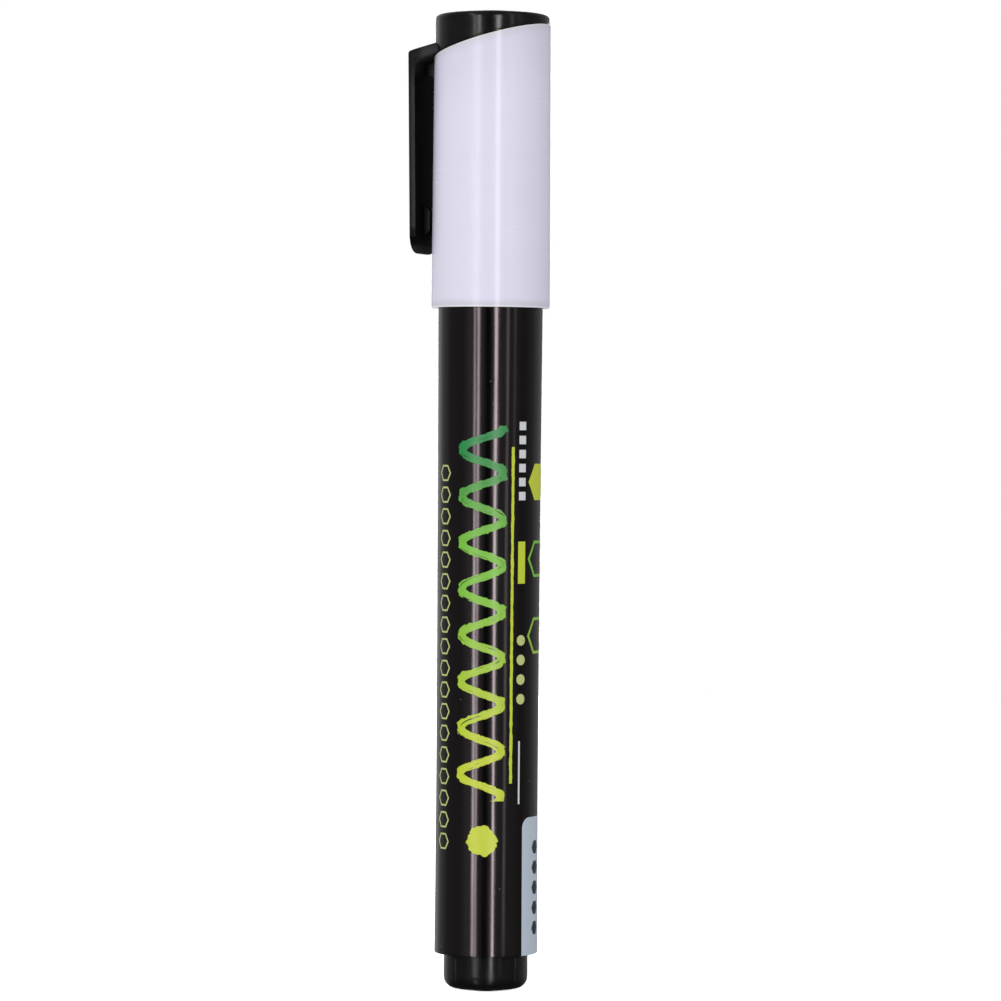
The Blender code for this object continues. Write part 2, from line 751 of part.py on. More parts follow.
def make_clip_crown():
    """Crown, clip and skirt in one moulding. The cap's outline cuts it to fit, then the skirt is added."""
    low = seam_low - SEAM_GAP
    outline = [(0.0, crown_top)]
    outline += arc(crown_radius - CROWN_RIM_RADIUS, crown_top - CROWN_RIM_RADIUS, CROWN_RIM_RADIUS, 90, 0)
    outline += [(crown_radius, low), (0.0, low)]
    crown = place(turned("clip_crown", outline, OUTER_STEPS, False), cap, black_satin)
    for addition in [clip_plate(), clip_root()] + clip_ribs():
        combine(crown, addition, "UNION")
    combine(crown, cap_envelope(), "DIFFERENCE")

    core_top = crown_top - CROWN_ROOF / 2
    core = [(0.0, core_top), (skirt_radius, core_top), (skirt_radius, skirt_bottom), (0.0, skirt_bottom)]
    combine(crown, as_tool(turned("crown_skirt", core, OUTER_STEPS, False)), "UNION")

    roof = crown_top - CROWN_ROOF
    hollow_radius = skirt_radius - CROWN_WALL
    below = skirt_bottom - CROWN_ROOF
    hollow = [(0.0, roof), (hollow_radius, roof), (hollow_radius, below), (0.0, below)]
    combine(crown, as_tool(turned("crown_hollow", hollow, OUTER_STEPS, False)), "DIFFERENCE")


make_barrel()
make_end_plug()
make_nib_holder()
make_nib()
make_valve_housing()
make_valve_plunger()
make_spring_retainer()
make_valve_spring()
make_mixing_ball()
make_cap_shell()
make_inner_cap()
make_clip_crown()
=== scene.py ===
"""Looks of the pump-valve paint marker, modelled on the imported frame.

Metres, +Z up along the pen's axis, the clip on the -X side. Every piece stands for one CAD node
and rides on that node's body.
"""

import math

import bpy
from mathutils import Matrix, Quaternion, Vector


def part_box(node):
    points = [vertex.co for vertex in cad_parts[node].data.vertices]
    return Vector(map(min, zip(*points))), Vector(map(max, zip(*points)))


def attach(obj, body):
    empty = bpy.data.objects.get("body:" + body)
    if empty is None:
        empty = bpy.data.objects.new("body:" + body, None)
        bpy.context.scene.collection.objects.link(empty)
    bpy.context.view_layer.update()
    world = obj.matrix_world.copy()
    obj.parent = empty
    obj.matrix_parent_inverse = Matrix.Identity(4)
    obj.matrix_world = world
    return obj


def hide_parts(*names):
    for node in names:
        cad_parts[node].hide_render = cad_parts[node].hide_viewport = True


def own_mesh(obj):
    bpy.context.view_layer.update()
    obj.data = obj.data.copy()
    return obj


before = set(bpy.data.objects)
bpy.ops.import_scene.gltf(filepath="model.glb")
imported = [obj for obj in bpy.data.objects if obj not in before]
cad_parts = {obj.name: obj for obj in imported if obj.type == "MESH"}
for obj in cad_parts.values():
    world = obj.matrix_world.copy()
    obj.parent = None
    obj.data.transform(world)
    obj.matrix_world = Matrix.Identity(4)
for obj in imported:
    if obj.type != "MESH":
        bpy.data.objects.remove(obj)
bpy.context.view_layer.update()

MM = 0.001

# Barrel
WAIST_RADIUS = 7.35 * MM
REAR_RADIUS = 7.43 * MM
WAIST_HEIGHT = 24.8 * MM  # above the barrel's rear end
REAR_EDGE = 0.1 * MM
RIM_EDGE = 0.3 * MM
END_BORE = 6.26 * MM  # for the plug and for the nib holder
CHAMBER_RADIUS = 5.9 * MM
SIDE_STEPS = 28

# End plug
PLUG_RADIUS = 6.06 * MM
PLUG_EDGE = 1.7 * MM
PLUG_CUP = 4.76 * MM
PLUG_FLOOR = 2.2 * MM
PLUG_RIBS = 4
PLUG_RIB_WIDTH = 0.36 * MM
PLUG_RIB_RISE = 0.13 * MM
PLUG_RIB_TURN = math.radians(-28.0)  # of the first rib, from +X
PLUG_RIB_LOW = 0.8 * PLUG_EDGE

# Nib holder
FLANGE_RADIUS = 7.35 * MM
FLANGE_HEIGHT = 1.2 * MM
NECK_RADIUS = 6.0 * MM
NECK_LENGTH = 3.6 * MM
SNAP_RISE = 0.7 * MM
SNAP_LENGTH = 1.0 * MM
SHOULDER_LENGTH = 0.9 * MM
COLLAR_RADIUS = 4.9 * MM
COLLAR_LENGTH = 2.4 * MM
NOSE_RADIUS = 4.2 * MM
NOSE_BORE = 3.25 * MM
POCKET_RADIUS = 4.4 * MM
CHANNEL_COUNT = 6
CHANNEL_WIDTH = 0.7 * MM
CHANNEL_DEPTH = 0.45 * MM
NIB_ROOM = 2.4 * MM  # under the nib, for its stroke

# Nib
NIB_RADIUS = 3.0 * MM
NIB_TAPER = 4.2 * MM
CHISEL_LAND = 1.7 * MM
CHISEL_LENGTH = 3.5 * MM
NIB_STEPS = 14

# Valve
SEAT_WALL = 1.4 * MM
SEAT_CONE = 0.7 * MM
STEM_RADIUS = 1.1 * MM
STEM_HOLE = 1.5 * MM
HOUSING_RADIUS = 4.2 * MM
HOUSING_CHAMBER = 3.3 * MM
HEAD_RADIUS = 2.5 * MM
HEAD_LENGTH = 1.2 * MM
TAIL_RADIUS = 1.0 * MM
TAIL_LENGTH = 4.5 * MM
RETAINER_RADIUS = 3.1 * MM
RETAINER_BORE = 2.5 * MM
RETAINER_FLOOR = 1.4 * MM
PORT_RADIUS = 1.2 * MM
PORT_SLOTS = 4
PORT_SLOT_WIDTH = 0.9 * MM
PORT_SLOT_MARGIN = 0.3 * MM  # from the slots' ends to the bore
PORT_SLOT_OVER = 0.7 * MM  # how far their cutter stands above the floor
WIRE_RADIUS = 0.225 * MM
COIL_RADIUS = 1.9 * MM
COIL_TURNS = 7
COIL_STEPS = 36  # in one turn
WIRE_SIDES = 14

# Cap
SEAM_SLOPE = math.tan(math.radians(15.8))
SEAM_GAP = 0.25 * MM
CAP_LENGTH = 38.4 * MM  # from the mouth to the seam, on the axis
CAP_TOP_RADIUS = 8.35 * MM
CAP_RIM = 0.14 * MM
CAP_EDGE = 0.16 * MM
MOUTH_EDGE = 0.12 * MM
MOUTH_BORE = 7.85 * MM
CAP_BEAD = 6.95 * MM
CAP_BORE = 7.45 * MM
CAP_LEDGE = 7.05 * MM
BEAD_HEIGHT = 109.8 * MM
BEAD_LENGTH = 1.0 * MM

# Inner cap
LINER_BORE = 5.15 * MM
LINER_RADIUS = 5.95 * MM
LINER_FLANGE = 1.1 * MM

# Crown and clip
CROWN_RADIUS = 8.2 * MM
CROWN_RIM = 0.7 * MM
CROWN_EDGE = 0.12 * MM
LIP_RADIUS = 7.95 * MM
LIP_DROP = 0.17 * MM
SKIRT_RADIUS = 7.25 * MM
SKIRT_HOLLOW = 5.85 * MM
CROWN_ROOF = 1.5 * MM
CLIP_THICKNESS = 1.1 * MM
CLIP_WIDTH = 9.7 * MM
CLIP_DRAFT = 0.06 * MM  # how much the sides draw in towards the outer face
CLIP_LENGTH = 28.95 * MM
CLIP_LEAN = 0.42 * MM  # how much nearer to the axis the tip is than the root
CLIP_TIP = 2.7 * MM
CLIP_EDGE = 0.36 * MM
ROOT_RISE = 1.54 * MM
ROOT_SLOPE = math.tan(math.radians(17.9))
ROOT_DROP = 0.4 * MM  # from the seam to the root's underside, at the clip
ROOT_TOP_WIDTH = 7.0 * MM  # where the root meets the crown
ROOT_FOOT_WIDTH = 9.8 * MM
RIB_EDGE = 0.2 * MM
GUSSET_WIDTH = 0.9 * MM
GUSSET_DRAFT = 0.12 * MM  # how much each side spreads towards the cap
GUSSET_LENGTH = 1.7 * MM
GRIP_WIDTH = 2.0 * MM
GRIP_LENGTH = 6.3 * MM
GRIP_END = 1.6 * MM
GRIP_RAMP = 1.7 * MM
SEAT_GAP = 0.3 * MM  # between pieces that meet, and between the clip's ribs and the cap
SEAM_REACH = 0.3 * MM  # rings this near to the crown's seam are slanted

# Edge radii of the moulded pieces
HAIR_EDGE = 0.05 * MM
CRISP_EDGE = 0.08 * MM
FINE_EDGE = 0.1 * MM
SMALL_EDGE = 0.12 * MM
LIGHT_EDGE = 0.15 * MM
SOFT_EDGE = 0.2 * MM
EASED_EDGE = 0.25 * MM
ROUND_EDGE = 0.3 * MM
FULL_EDGE = 0.35 * MM
WIDE_EDGE = 0.4 * MM

# Mesh fineness
TURN_STEPS = 144
INNER_TURN_STEPS = 96
EDGE_STEPS = 5
RIB_STEPS = 3
CLIP_EDGE_STEPS = 4
CLIP_TIP_STEPS = 12
BALL_LEVELS = 5
HOLD = 0.35  # holding points beside a rounded edge, as a share of its radius
WELD = 0.001 * MM
LEVEL = 0.1 * MM  # heights this near count as the same
ALONG = 0.9  # cosine from which a face or an edge points along an axis
BEVEL_ANGLE = math.radians(40.0)
SMOOTH_ANGLE = math.radians(32.0)

# Camera, and the photograph's frame
FRAME_PIXELS = 1001
PIXELS_PER_METRE = 6948.0  # at the pen's axis
CAMERA_AZIMUTH = math.radians(17.0)
CAMERA_DISTANCE = 0.64
CAMERA_HEIGHT = 81.0 * MM
AIM_HEIGHT = 70.25 * MM
CAMERA_ASIDE = 1.55 * MM  # how far right of the pen's axis it looks
CAMERA_ROLL = math.radians(0.44)
SENSOR_WIDTH = 36.0
NEAREST_SEEN = 0.01

# Finishes: noise scales are for lengths in mm
NOISE_LOW = 0.3  # most of a noise lies between these two
NOISE_HIGH = 0.7
GRAIN_SCALE = 7.0
GRAIN_DEPTH = 0.006 * MM
CLOUD_SCALE = 0.35
BLACK_TINT = 1.1  # blue over red and green
BLACK_LIFT = 2.0  # how much lighter the clouds are
CAP_ROUGHNESS = 0.2
SCUFF_ROUGHNESS = 0.3
SCUFF_DEPTH = 0.004 * MM
LINER_WHITE = (0.76, 0.76, 0.73)
VALVE_WHITE = (0.74, 0.74, 0.72)
DARK_STEEL = (0.6, 0.6, 0.61)
STEEL = (0.66, 0.66, 0.67)
LIGHT_STEEL = (0.72, 0.72, 0.73)
DARK_FELT = (0.7, 0.69, 0.63)
FELT = (0.82, 0.81, 0.76)
LIGHT_FELT = (0.88, 0.87, 0.83)

# Colours of the cap, and where some of them begin and are full, in mm from its rim or its mouth.
# Besides its clouded tone they are painted shade, darker towards the rim and near both ends, and
# painted highlights, pale lines along the rim and the mouth
CAP_LAVENDER = (0.70, 0.69, 0.83)
CAP_DEEP = (0.69, 0.673, 0.82)
CAP_PALE = (0.72, 0.703, 0.84)
CAP_PAINTED_TOP_SHADE = (0.655, 0.643, 0.772)
CAP_SHADED = (0.59, 0.59, 0.68)
RIM_PAINTED_HIGHLIGHT = (0.68, 0.69, 0.65)
MOUTH_PAINTED_HIGHLIGHT = (0.8, 0.8, 0.85)
PAINTED_TOP_SHADE_FROM = (11.0, 0.5)
SHADED_FROM = (1.5, 0.2)
RIM_HIGHLIGHT_FROM = (0.2, 0.1)
MOUTH_HIGHLIGHT_FROM = (0.24, 0.14)

# How far a face of the clip has to point a way to be its ramp, inside, underside or side
RAMP_FACING = 0.3
INSIDE_FACING = 0.7
UNDER_FACING = 0.08
SIDE_FACING = 0.5

# Print on the barrel, in mm across from the side that faces the camera and along the axis
PRINT_TURN = math.pi / 2 - CAMERA_AZIMUTH
PRINT_DEPTH = 6.6  # nearer to the axis there is no print
PRINT_FADE = 0.1
FILM_BLACK = (0.001, 0.001, 0.0011)
FILM_TINT = (1.0, 0.86, 0.89, 1.0)
INK_EDGE = 0.04
INK_ROUGHNESS = 0.24  # more than the film's
WAVE_MIDDLE = -1.0
WAVE_SWING = 2.9
WAVE_PITCH = 6.6
WAVE_STROKE = 1.2
WAVE_FRAY = 0.7
WAVE_ROWS = (27.5, 81.0)
LEFT_COLUMN = -7.4
MIDDLE_COLUMN = 5.1
RIGHT_COLUMN = 9.3
MARK_COLUMN = 9.0
CELL = 1.15  # from a cell's middle to its sides
BIG_CELL = 2.6
PANEL_LEFT = 5.6
PANEL_WIDTH = 10.0
PANEL_TOP = 25.0
PANEL_CORNER = 1.5
GREEN_INK = (0.004, 0.25, 0.055)
LEAF_INK = (0.17, 0.5, 0.035)
LIME_INK = (0.52, 0.62, 0.02)
PALE_LIME_INK = (0.5, 0.57, 0.2)
WHITE_INK = (0.62, 0.64, 0.67)
PANEL_INK = (0.47, 0.55, 0.65)
DUST_SPACING = 13.0
DUST_RADIUS = 0.07
DUST_GREY = (0.13, 0.13, 0.13)

# Studio: the light of the room, and how bright its walls are at bearings right of the camera
ROOM_LIGHT = 0.7
ROOM_FRONT = 0.21  # how much more of it comes from the camera's side
ROOM_RIGHT = 0.04  # and from the right
LAMP_COLOUR = (1.0, 0.97, 0.97)
LAMP_LEFT_LOW = -0.12
LAMP_RIGHT_LOW = -0.25
LAMP_SIDE_LOW = -0.1
LAMP_SPLIT = 0.05
LAMP_TOP = 0.4  # above this the left and right strips aren't seen in reflections
LAMP_HIGH = 1.3
UNDER_ANGLES = (-174.0, -28.0, 14.0, 174.0)
UNDER_LOW = -0.85
UNDER_HIGH = -0.27
FLOOR_RADIUS = 0.7
FLOOR_SIDES = 128
FLOOR_GREY = (0.8, 0.8, 0.8)
FLOOR_GLOW = 0.8
WALL_SHADE = -0.12  # as a sine of the height angle, the walls darken from here
WALL_FOOT = -0.5  # down to here
WALL_FOOT_SHARE = 0.06
STUDIO_WALLS = (
    (-180.0, 0.03),
    (-165.0, 0.2),
    (-150.0, 0.6),
    (-118.0, 0.28),
    (-95.0, 0.14),
    (-62.0, 0.14),
    (-53.0, 0.22),
    (-45.0, 0.34),
    (-36.0, 0.2),
    (-14.0, 0.17),
    (-8.0, 0.0),
    (0.0, 0.0),
    (6.0, 0.17),
    (60.0, 0.17),
    (80.0, 0.1),
    (105.0, 0.16),
    (122.0, 0.26),
    (140.0, 0.3),
    (160.0, 0.25),
    (180.0, 0.1),
)

# Heights and radii from the frame
barrel_low, barrel_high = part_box("barrel")
cap_low, cap_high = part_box("cap_shell")
crown_low, crown_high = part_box("clip_crown")
holder_low, holder_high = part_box("nib_holder")
nib_low, nib_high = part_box("nib")
housing_low, housing_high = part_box("valve_housing")
plunger_low, plunger_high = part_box("valve_plunger")
retainer_low, retainer_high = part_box("spring_retainer")
spring_low, spring_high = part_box("valve_spring")
liner_low, liner_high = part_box("inner_cap")
plug_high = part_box("end_plug")[1]
ball_low, ball_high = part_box("mixing_ball")

barrel_rear, barrel_front = barrel_low.z, barrel_high.z
front_radius = barrel_high.x
cap_mouth = cap_low.z
mouth_radius = cap_high.x
seam_height = cap_mouth + CAP_LENGTH
crown_top = crown_high.z
skirt_bottom = liner_high.z + SEAT_GAP
ledge_height = liner_high.z - LINER_FLANGE - SEAT_GAP
clip_outer = -crown_low.x
clip_inner = clip_outer - CLIP_THICKNESS
clip_top = seam_height - clip_outer * SEAM_SLOPE + ROOT_RISE
clip_tip = clip_top - CLIP_LENGTH
root_under = seam_height - clip_inner * SEAM_SLOPE - ROOT_DROP

to_camera = Vector((math.sin(CAMERA_AZIMUTH), -math.cos(CAMERA_AZIMUTH), 0.0))
to_right = Vector((math.cos(CAMERA_AZIMUTH), math.sin(CAMERA_AZIMUTH), 0.0))


def seam_at(x):
    """Height of the slanted seam at x."""
    return seam_height + x * SEAM_SLOPE


def root_top_at(x):
    """Height of the top of the clip's root at x."""
    return clip_top + (x + clip_outer) * ROOT_SLOPE


def barrel_radius_at(z):
    """The barrel's outer radius: it opens from the waist to the front, and a little to the rear."""
    waist = barrel_rear + WAIST_HEIGHT
    end, radius = (barrel_front, front_radius) if z > waist else (barrel_rear, REAR_RADIUS)
    return WAIST_RADIUS + (radius - WAIST_RADIUS) * ((z - waist) / (end - waist)) ** 2


# Modelling helpers


def deselect():
    bpy.ops.object.select_all(action="DESELECT")


def only(piece):
    """Selects one piece and makes it active."""
    deselect()
    piece.select_set(True)
    bpy.context.view_layer.objects.active = piece


def rounded(corners):
    """Outline points of corners (radius, height, edge), each edge rounded, with holding points."""
    points = []
    for i, (radius, height, edge) in enumerate(corners):
        here = Vector((radius, height))
        if edge == 0.0:
            points.append(here)
            continue
        before = (Vector(corners[i - 1][:2]) - here).normalized()
        after = (Vector(corners[(i + 1) % len(corners)][:2]) - here).normalized()
        half = before.angle(after) / 2
        reach = edge / math.tan(half)
        middle = here + (before + after).normalized() * edge / math.sin(half)
        start = (here + before * reach - middle).normalized()
        end = (here + after * reach - middle).normalized()
        points.append(here + before * (reach + edge * HOLD))
        for step in range(EDGE_STEPS + 1):
            points.append(middle + start.slerp(end, step / EDGE_STEPS) * edge)
        points.append(here + after * (reach + edge * HOLD))
    return points


def turn(name, points, steps=TURN_STEPS):
    """A turned piece: one vertex is extruded along the outline, which is spun about the axis."""
    deselect()
    bpy.ops.mesh.primitive_plane_add(size=MM)
    piece = bpy.context.object
    piece.name = name
    bpy.ops.object.mode_set(mode="EDIT")
    bpy.ops.mesh.select_mode(type="VERT")
    bpy.ops.mesh.select_all(action="SELECT")
    bpy.ops.mesh.merge(type="CENTER")
    here = Vector((points[0][0], 0.0, points[0][1]))
    bpy.ops.transform.translate(value=here)
    for radius, height in points[1:]:
        there = Vector((radius, 0.0, height))
        bpy.ops.mesh.extrude_vertices_move(TRANSFORM_OT_translate={"value": there - here})
        here = there
    bpy.ops.mesh.select_all(action="SELECT")
    bpy.ops.mesh.spin(steps=steps, angle=math.tau, center=(0, 0, 0), axis=(0, 0, 1))
    weld()
    return piece


def weld():
    """Merges doubles, turns the faces outwards and leaves edit mode."""
    bpy.ops.mesh.select_all(action="SELECT")
    bpy.ops.mesh.remove_doubles(threshold=WELD)
    bpy.ops.mesh.normals_make_consistent(inside=False)
    bpy.ops.object.mode_set(mode="OBJECT")


def closed(points):
    """An outline that runs back to its first point."""
    return points + points[:1]


def apply(piece, kind, **settings):
    """Adds a modifier and applies it."""
    only(piece)
    modifier = piece.modifiers.new(kind.title(), kind)
    for name, value in settings.items():
        setattr(modifier, name, value)
    bpy.ops.object.modifier_apply(modifier=modifier.name)


def combine(piece, tool, operation):
    """Joins another piece to this one, or cuts with it, and removes it."""
    apply(piece, "BOOLEAN", operation=operation, solver="EXACT", object=tool)
    bpy.data.objects.remove(tool, do_unlink=True)


def block(name, low, high):
    """A box between two corners."""
    deselect()
    bpy.ops.mesh.primitive_cube_add(size=1.0)
    piece = bpy.context.object
    piece.name = name
    bpy.ops.object.mode_set(mode="EDIT")
    bpy.ops.mesh.select_all(action="SELECT")
    bpy.ops.transform.resize(value=Vector(high) - Vector(low))
    bpy.ops.transform.translate(value=(Vector(high) + Vector(low)) / 2)
    bpy.ops.object.mode_set(mode="OBJECT")
    return piece


def ring_of(block_piece, count, first):
    """Copies of a block round the axis, joined into one tool."""
    made = [block_piece]
    for _ in range(1, count):
        only(block_piece)
        bpy.ops.object.duplicate()
        made.append(bpy.context.object)
    for i, copy in enumerate(made):
        only(copy)
        copy.rotation_euler.z = first + math.tau * i / count
        bpy.ops.object.transform_apply(location=False, rotation=True, scale=False)
    deselect()
    for copy in made:
        copy.select_set(True)
    bpy.context.view_layer.objects.active = block_piece
    bpy.ops.object.join()
    return block_piece


def pick(piece, mode, wanted):
    """Enters edit mode with only the wanted vertices, edges or faces selected."""
    only(piece)
    bpy.ops.object.mode_set(mode="EDIT")
    bpy.ops.mesh.select_mode(type=mode)
    bpy.ops.mesh.select_all(action="DESELECT")
    bpy.ops.object.mode_set(mode="OBJECT")
    mesh = piece.data
    items = {"VERT": mesh.vertices, "EDGE": mesh.edges, "FACE": mesh.polygons}[mode]
    for item in items:
        item.select = wanted(item)
    bpy.ops.object.mode_set(mode="EDIT")


def ends(piece, edge):
    """The two end points of an edge."""
    return [piece.data.vertices[i].co for i in edge.vertices]


def finish_piece(piece, node, body, finish):
    """Smooths a piece, gives it its finish, and puts it in its node's place on its body."""
    only(piece)
    bpy.ops.object.shade_smooth_by_angle(angle=SMOOTH_ANGLE)
    piece.data.materials.clear()
    piece.data.materials.append(finish)
    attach(piece, body)
    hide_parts(node)


# Pieces


def model_barrel():
    """Waisted tube with a counterbore at each end."""
    plug_stop = plug_high.z + SEAT_GAP
    holder_stop = holder_low.z - SEAT_GAP
    top = barrel_front - RIM_EDGE * 2
    bottom = barrel_rear + REAR_EDGE * 2
    side = [top + (bottom - top) * i / SIDE_STEPS for i in range(SIDE_STEPS + 1)]
    rim = rounded([
        (END_BORE, barrel_front, 0.0),
        (front_radius, barrel_front, RIM_EDGE),
        (front_radius, top, 0.0),
    ])
    rear = rounded([
        (barrel_radius_at(bottom), bottom, 0.0),
        (REAR_RADIUS, barrel_rear, REAR_EDGE),
        (END_BORE, barrel_rear, CAP_EDGE),
        (END_BORE, plug_stop, 0.0),
        (CHAMBER_RADIUS, plug_stop, 0.0),
        (CHAMBER_RADIUS, holder_stop, 0.0),
        (END_BORE, holder_stop, 0.0),
    ])
    points = rim[:-1] + [Vector((barrel_radius_at(z), z)) for z in side] + rear[1:]
    return turn("printed_barrel", closed(points))


def model_plug():
    """Cup that closes the rear end, with fine upright ribs on its tail."""
    points = rounded([
        (0.0, PLUG_FLOOR, 0.0),
        (PLUG_CUP, PLUG_FLOOR, WIDE_EDGE),
        (PLUG_CUP, plug_high.z, SOFT_EDGE),
        (PLUG_RADIUS, plug_high.z, ROUND_EDGE),
        (PLUG_RADIUS, 0.0, PLUG_EDGE),
        (0.0, 0.0, 0.0),
    ])
    plug = turn("rear_plug", points)
    rib = block(
        "plug_rib",
        (PLUG_RADIUS - PLUG_RIB_WIDTH, -PLUG_RIB_WIDTH / 2, PLUG_RIB_LOW),
        (PLUG_RADIUS + PLUG_RIB_RISE, PLUG_RIB_WIDTH / 2, barrel_rear - PLUG_RIB_WIDTH),
    )
    pick(rib, "EDGE", lambda edge: all(point.x > PLUG_RADIUS for point in ends(rib, edge)))
    bpy.ops.mesh.bevel(offset=PLUG_RIB_RISE, segments=RIB_STEPS, affect="EDGES")
    bpy.ops.object.mode_set(mode="OBJECT")
    combine(plug, ring_of(rib, PLUG_RIBS, PLUG_RIB_TURN), "UNION")
    return plug


def model_holder():
    """Nose moulding, with air channels along the nib's bore."""
    flange_bottom = barrel_front + SEAT_GAP
    flange_top = flange_bottom + FLANGE_HEIGHT
    neck_top = flange_top + NECK_LENGTH
    shoulder_top = neck_top + SHOULDER_LENGTH
    collar_top = shoulder_top + COLLAR_LENGTH
    snap = neck_top - SNAP_LENGTH
    floor_top = nib_low.z - NIB_ROOM
    pocket_top = housing_high.z + SEAT_GAP
    nose_top = holder_high.z
    insert_radius = PLUG_RADIUS
    points = rounded([
        (NOSE_RADIUS, nose_top, EASED_EDGE),
        (COLLAR_RADIUS, collar_top, WIDE_EDGE),
        (COLLAR_RADIUS, shoulder_top, SMALL_EDGE),
        (NECK_RADIUS, neck_top, SOFT_EDGE),
        (NECK_RADIUS, snap + SNAP_LENGTH / 2, SMALL_EDGE),
        (NECK_RADIUS + SNAP_RISE, snap, ROUND_EDGE),
        (NECK_RADIUS, snap - SNAP_LENGTH / 2, SMALL_EDGE),
        (NECK_RADIUS, flange_top, SMALL_EDGE),
        (FLANGE_RADIUS, flange_top, SOFT_EDGE),
        (FLANGE_RADIUS, flange_bottom, LIGHT_EDGE),
        (insert_radius, flange_bottom, SMALL_EDGE),
        (insert_radius, holder_low.z, ROUND_EDGE),
        (POCKET_RADIUS, holder_low.z, SMALL_EDGE),
        (POCKET_RADIUS, pocket_top, 0.0),
        (STEM_HOLE, pocket_top, 0.0),
        (STEM_HOLE, floor_top, 0.0),
        (NOSE_BORE, floor_top, 0.0),
        (NOSE_BORE, nose_top, SMALL_EDGE),
    ])
    holder = turn("nose_holder", closed(points), INNER_TURN_STEPS)
    channel = block(
        "air_channel",
        (NOSE_BORE - CHANNEL_DEPTH, -CHANNEL_WIDTH / 2, floor_top + SEAT_GAP),
        (NOSE_BORE + CHANNEL_DEPTH, CHANNEL_WIDTH / 2, nose_top + MM),
    )
    combine(holder, ring_of(channel, CHANNEL_COUNT, math.pi / CHANNEL_COUNT), "DIFFERENCE")
    return holder


def model_nib():
    """Felt nib: a bullet end outside, and a chisel end that two cuts leave inside."""
    stretch = NIB_TAPER / NIB_RADIUS
    points = []
    for i in range(NIB_STEPS + 1):
        angle = math.pi / 2 * (1 - i / NIB_STEPS)
        height = nib_high.z - NIB_TAPER + NIB_RADIUS * math.sin(angle) * stretch
        points.append((NIB_RADIUS * math.cos(angle), height))
    points[0] = (0.0, nib_high.z)
    points += [(NIB_RADIUS, nib_low.z), (0.0, nib_low.z)]
    nib = turn("felt_nib", points, INNER_TURN_STEPS)
    for side in (-1, 1):
        pick(nib, "FACE", lambda face: True)
        outwards = Vector((0.0, side * CHISEL_LENGTH, CHISEL_LAND / 2 - NIB_RADIUS)).normalized()
        bpy.ops.mesh.bisect(
            plane_co=(0.0, side * CHISEL_LAND / 2, nib_low.z),
            plane_no=outwards,
            clear_outer=True,
            threshold=WELD,
        )
        bpy.ops.mesh.select_all(action="SELECT")
        bpy.ops.mesh.fill_holes(sides=0)
        weld()
    return nib


def model_housing():
    """Valve body with a conical seat."""
    seat = housing_high.z - SEAT_WALL
    points = rounded([
        (STEM_HOLE, housing_high.z, FINE_EDGE),
        (HOUSING_RADIUS, housing_high.z, FULL_EDGE),
        (HOUSING_RADIUS, housing_low.z, LIGHT_EDGE),
        (HOUSING_CHAMBER, housing_low.z, LIGHT_EDGE),
        (HOUSING_CHAMBER, seat, FINE_EDGE),
        (HEAD_RADIUS, seat, 0.0),
        (STEM_HOLE, seat + SEAT_CONE, 0.0),
    ])
    return turn("valve_body", closed(points), INNER_TURN_STEPS)


def model_plunger():
    """Stem, conical head and tail of the valve."""
    head_bottom = plunger_low.z + TAIL_LENGTH
    head_top = head_bottom + HEAD_LENGTH
    points = rounded([
        (0.0, plunger_high.z, 0.0),
        (STEM_RADIUS, plunger_high.z, EASED_EDGE),
        (STEM_RADIUS, head_top + SEAT_CONE, FINE_EDGE),
        (HEAD_RADIUS, head_top, CRISP_EDGE),
        (HEAD_RADIUS, head_bottom, SMALL_EDGE),
        (TAIL_RADIUS, head_bottom, FINE_EDGE),
        (TAIL_RADIUS, plunger_low.z, ROUND_EDGE),
        (0.0, plunger_low.z, 0.0),
    ])
    return turn("valve_stem", points, INNER_TURN_STEPS)


def model_retainer():
    """Snap-in cap under the valve, with a cross of slots for the paint."""
    flange_top = retainer_low.z + RETAINER_FLOOR
    points = rounded([
        (RETAINER_BORE, retainer_high.z, FINE_EDGE),
        (RETAINER_RADIUS, retainer_high.z, SOFT_EDGE),
        (RETAINER_RADIUS, flange_top, CRISP_EDGE),
        (HOUSING_RADIUS, flange_top, SMALL_EDGE),
        (HOUSING_RADIUS, retainer_low.z, ROUND_EDGE),
        (PORT_RADIUS, retainer_low.z, FINE_EDGE),
        (PORT_RADIUS, flange_top, FINE_EDGE),
        (RETAINER_BORE, flange_top, FINE_EDGE),
    ])
    retainer = turn("slotted_retainer", closed(points), INNER_TURN_STEPS)
    outer_end = RETAINER_BORE - PORT_SLOT_MARGIN
    slot = block(
        "paint_slot",
        (PORT_RADIUS / 2, -PORT_SLOT_WIDTH / 2, retainer_low.z - MM),
        (outer_end, PORT_SLOT_WIDTH / 2, flange_top + PORT_SLOT_OVER),
    )
    combine(retainer, ring_of(slot, PORT_SLOTS, math.pi / PORT_SLOTS), "DIFFERENCE")
    return retainer


def model_spring():
    """Coil spring: a round of wire carried up a helix, its ends filled."""
    bottom = spring_low.z + WIRE_RADIUS
    top = spring_high.z - WIRE_RADIUS
    deselect()
    bpy.ops.mesh.primitive_circle_add(vertices=WIRE_SIDES, radius=WIRE_RADIUS)
    spring = bpy.context.object
    spring.name = "return_spring"
    bpy.ops.object.mode_set(mode="EDIT")
    bpy.ops.mesh.select_all(action="SELECT")
    bpy.ops.transform.rotate(value=math.pi / 2, orient_axis="X", center_override=(0, 0, 0))
    bpy.ops.transform.translate(value=(COIL_RADIUS, 0.0, bottom))
    bpy.ops.object.mode_set(mode="OBJECT")
    apply(
        spring,
        "SCREW",
        steps=COIL_STEPS,
        render_steps=COIL_STEPS,
        iterations=COIL_TURNS,
        screw_offset=(top - bottom) / COIL_TURNS,
        use_merge_vertices=False,
    )
    bpy.ops.object.mode_set(mode="EDIT")
    bpy.ops.mesh.select_all(action="SELECT")
    bpy.ops.mesh.fill_holes(sides=0)
    weld()
    return spring


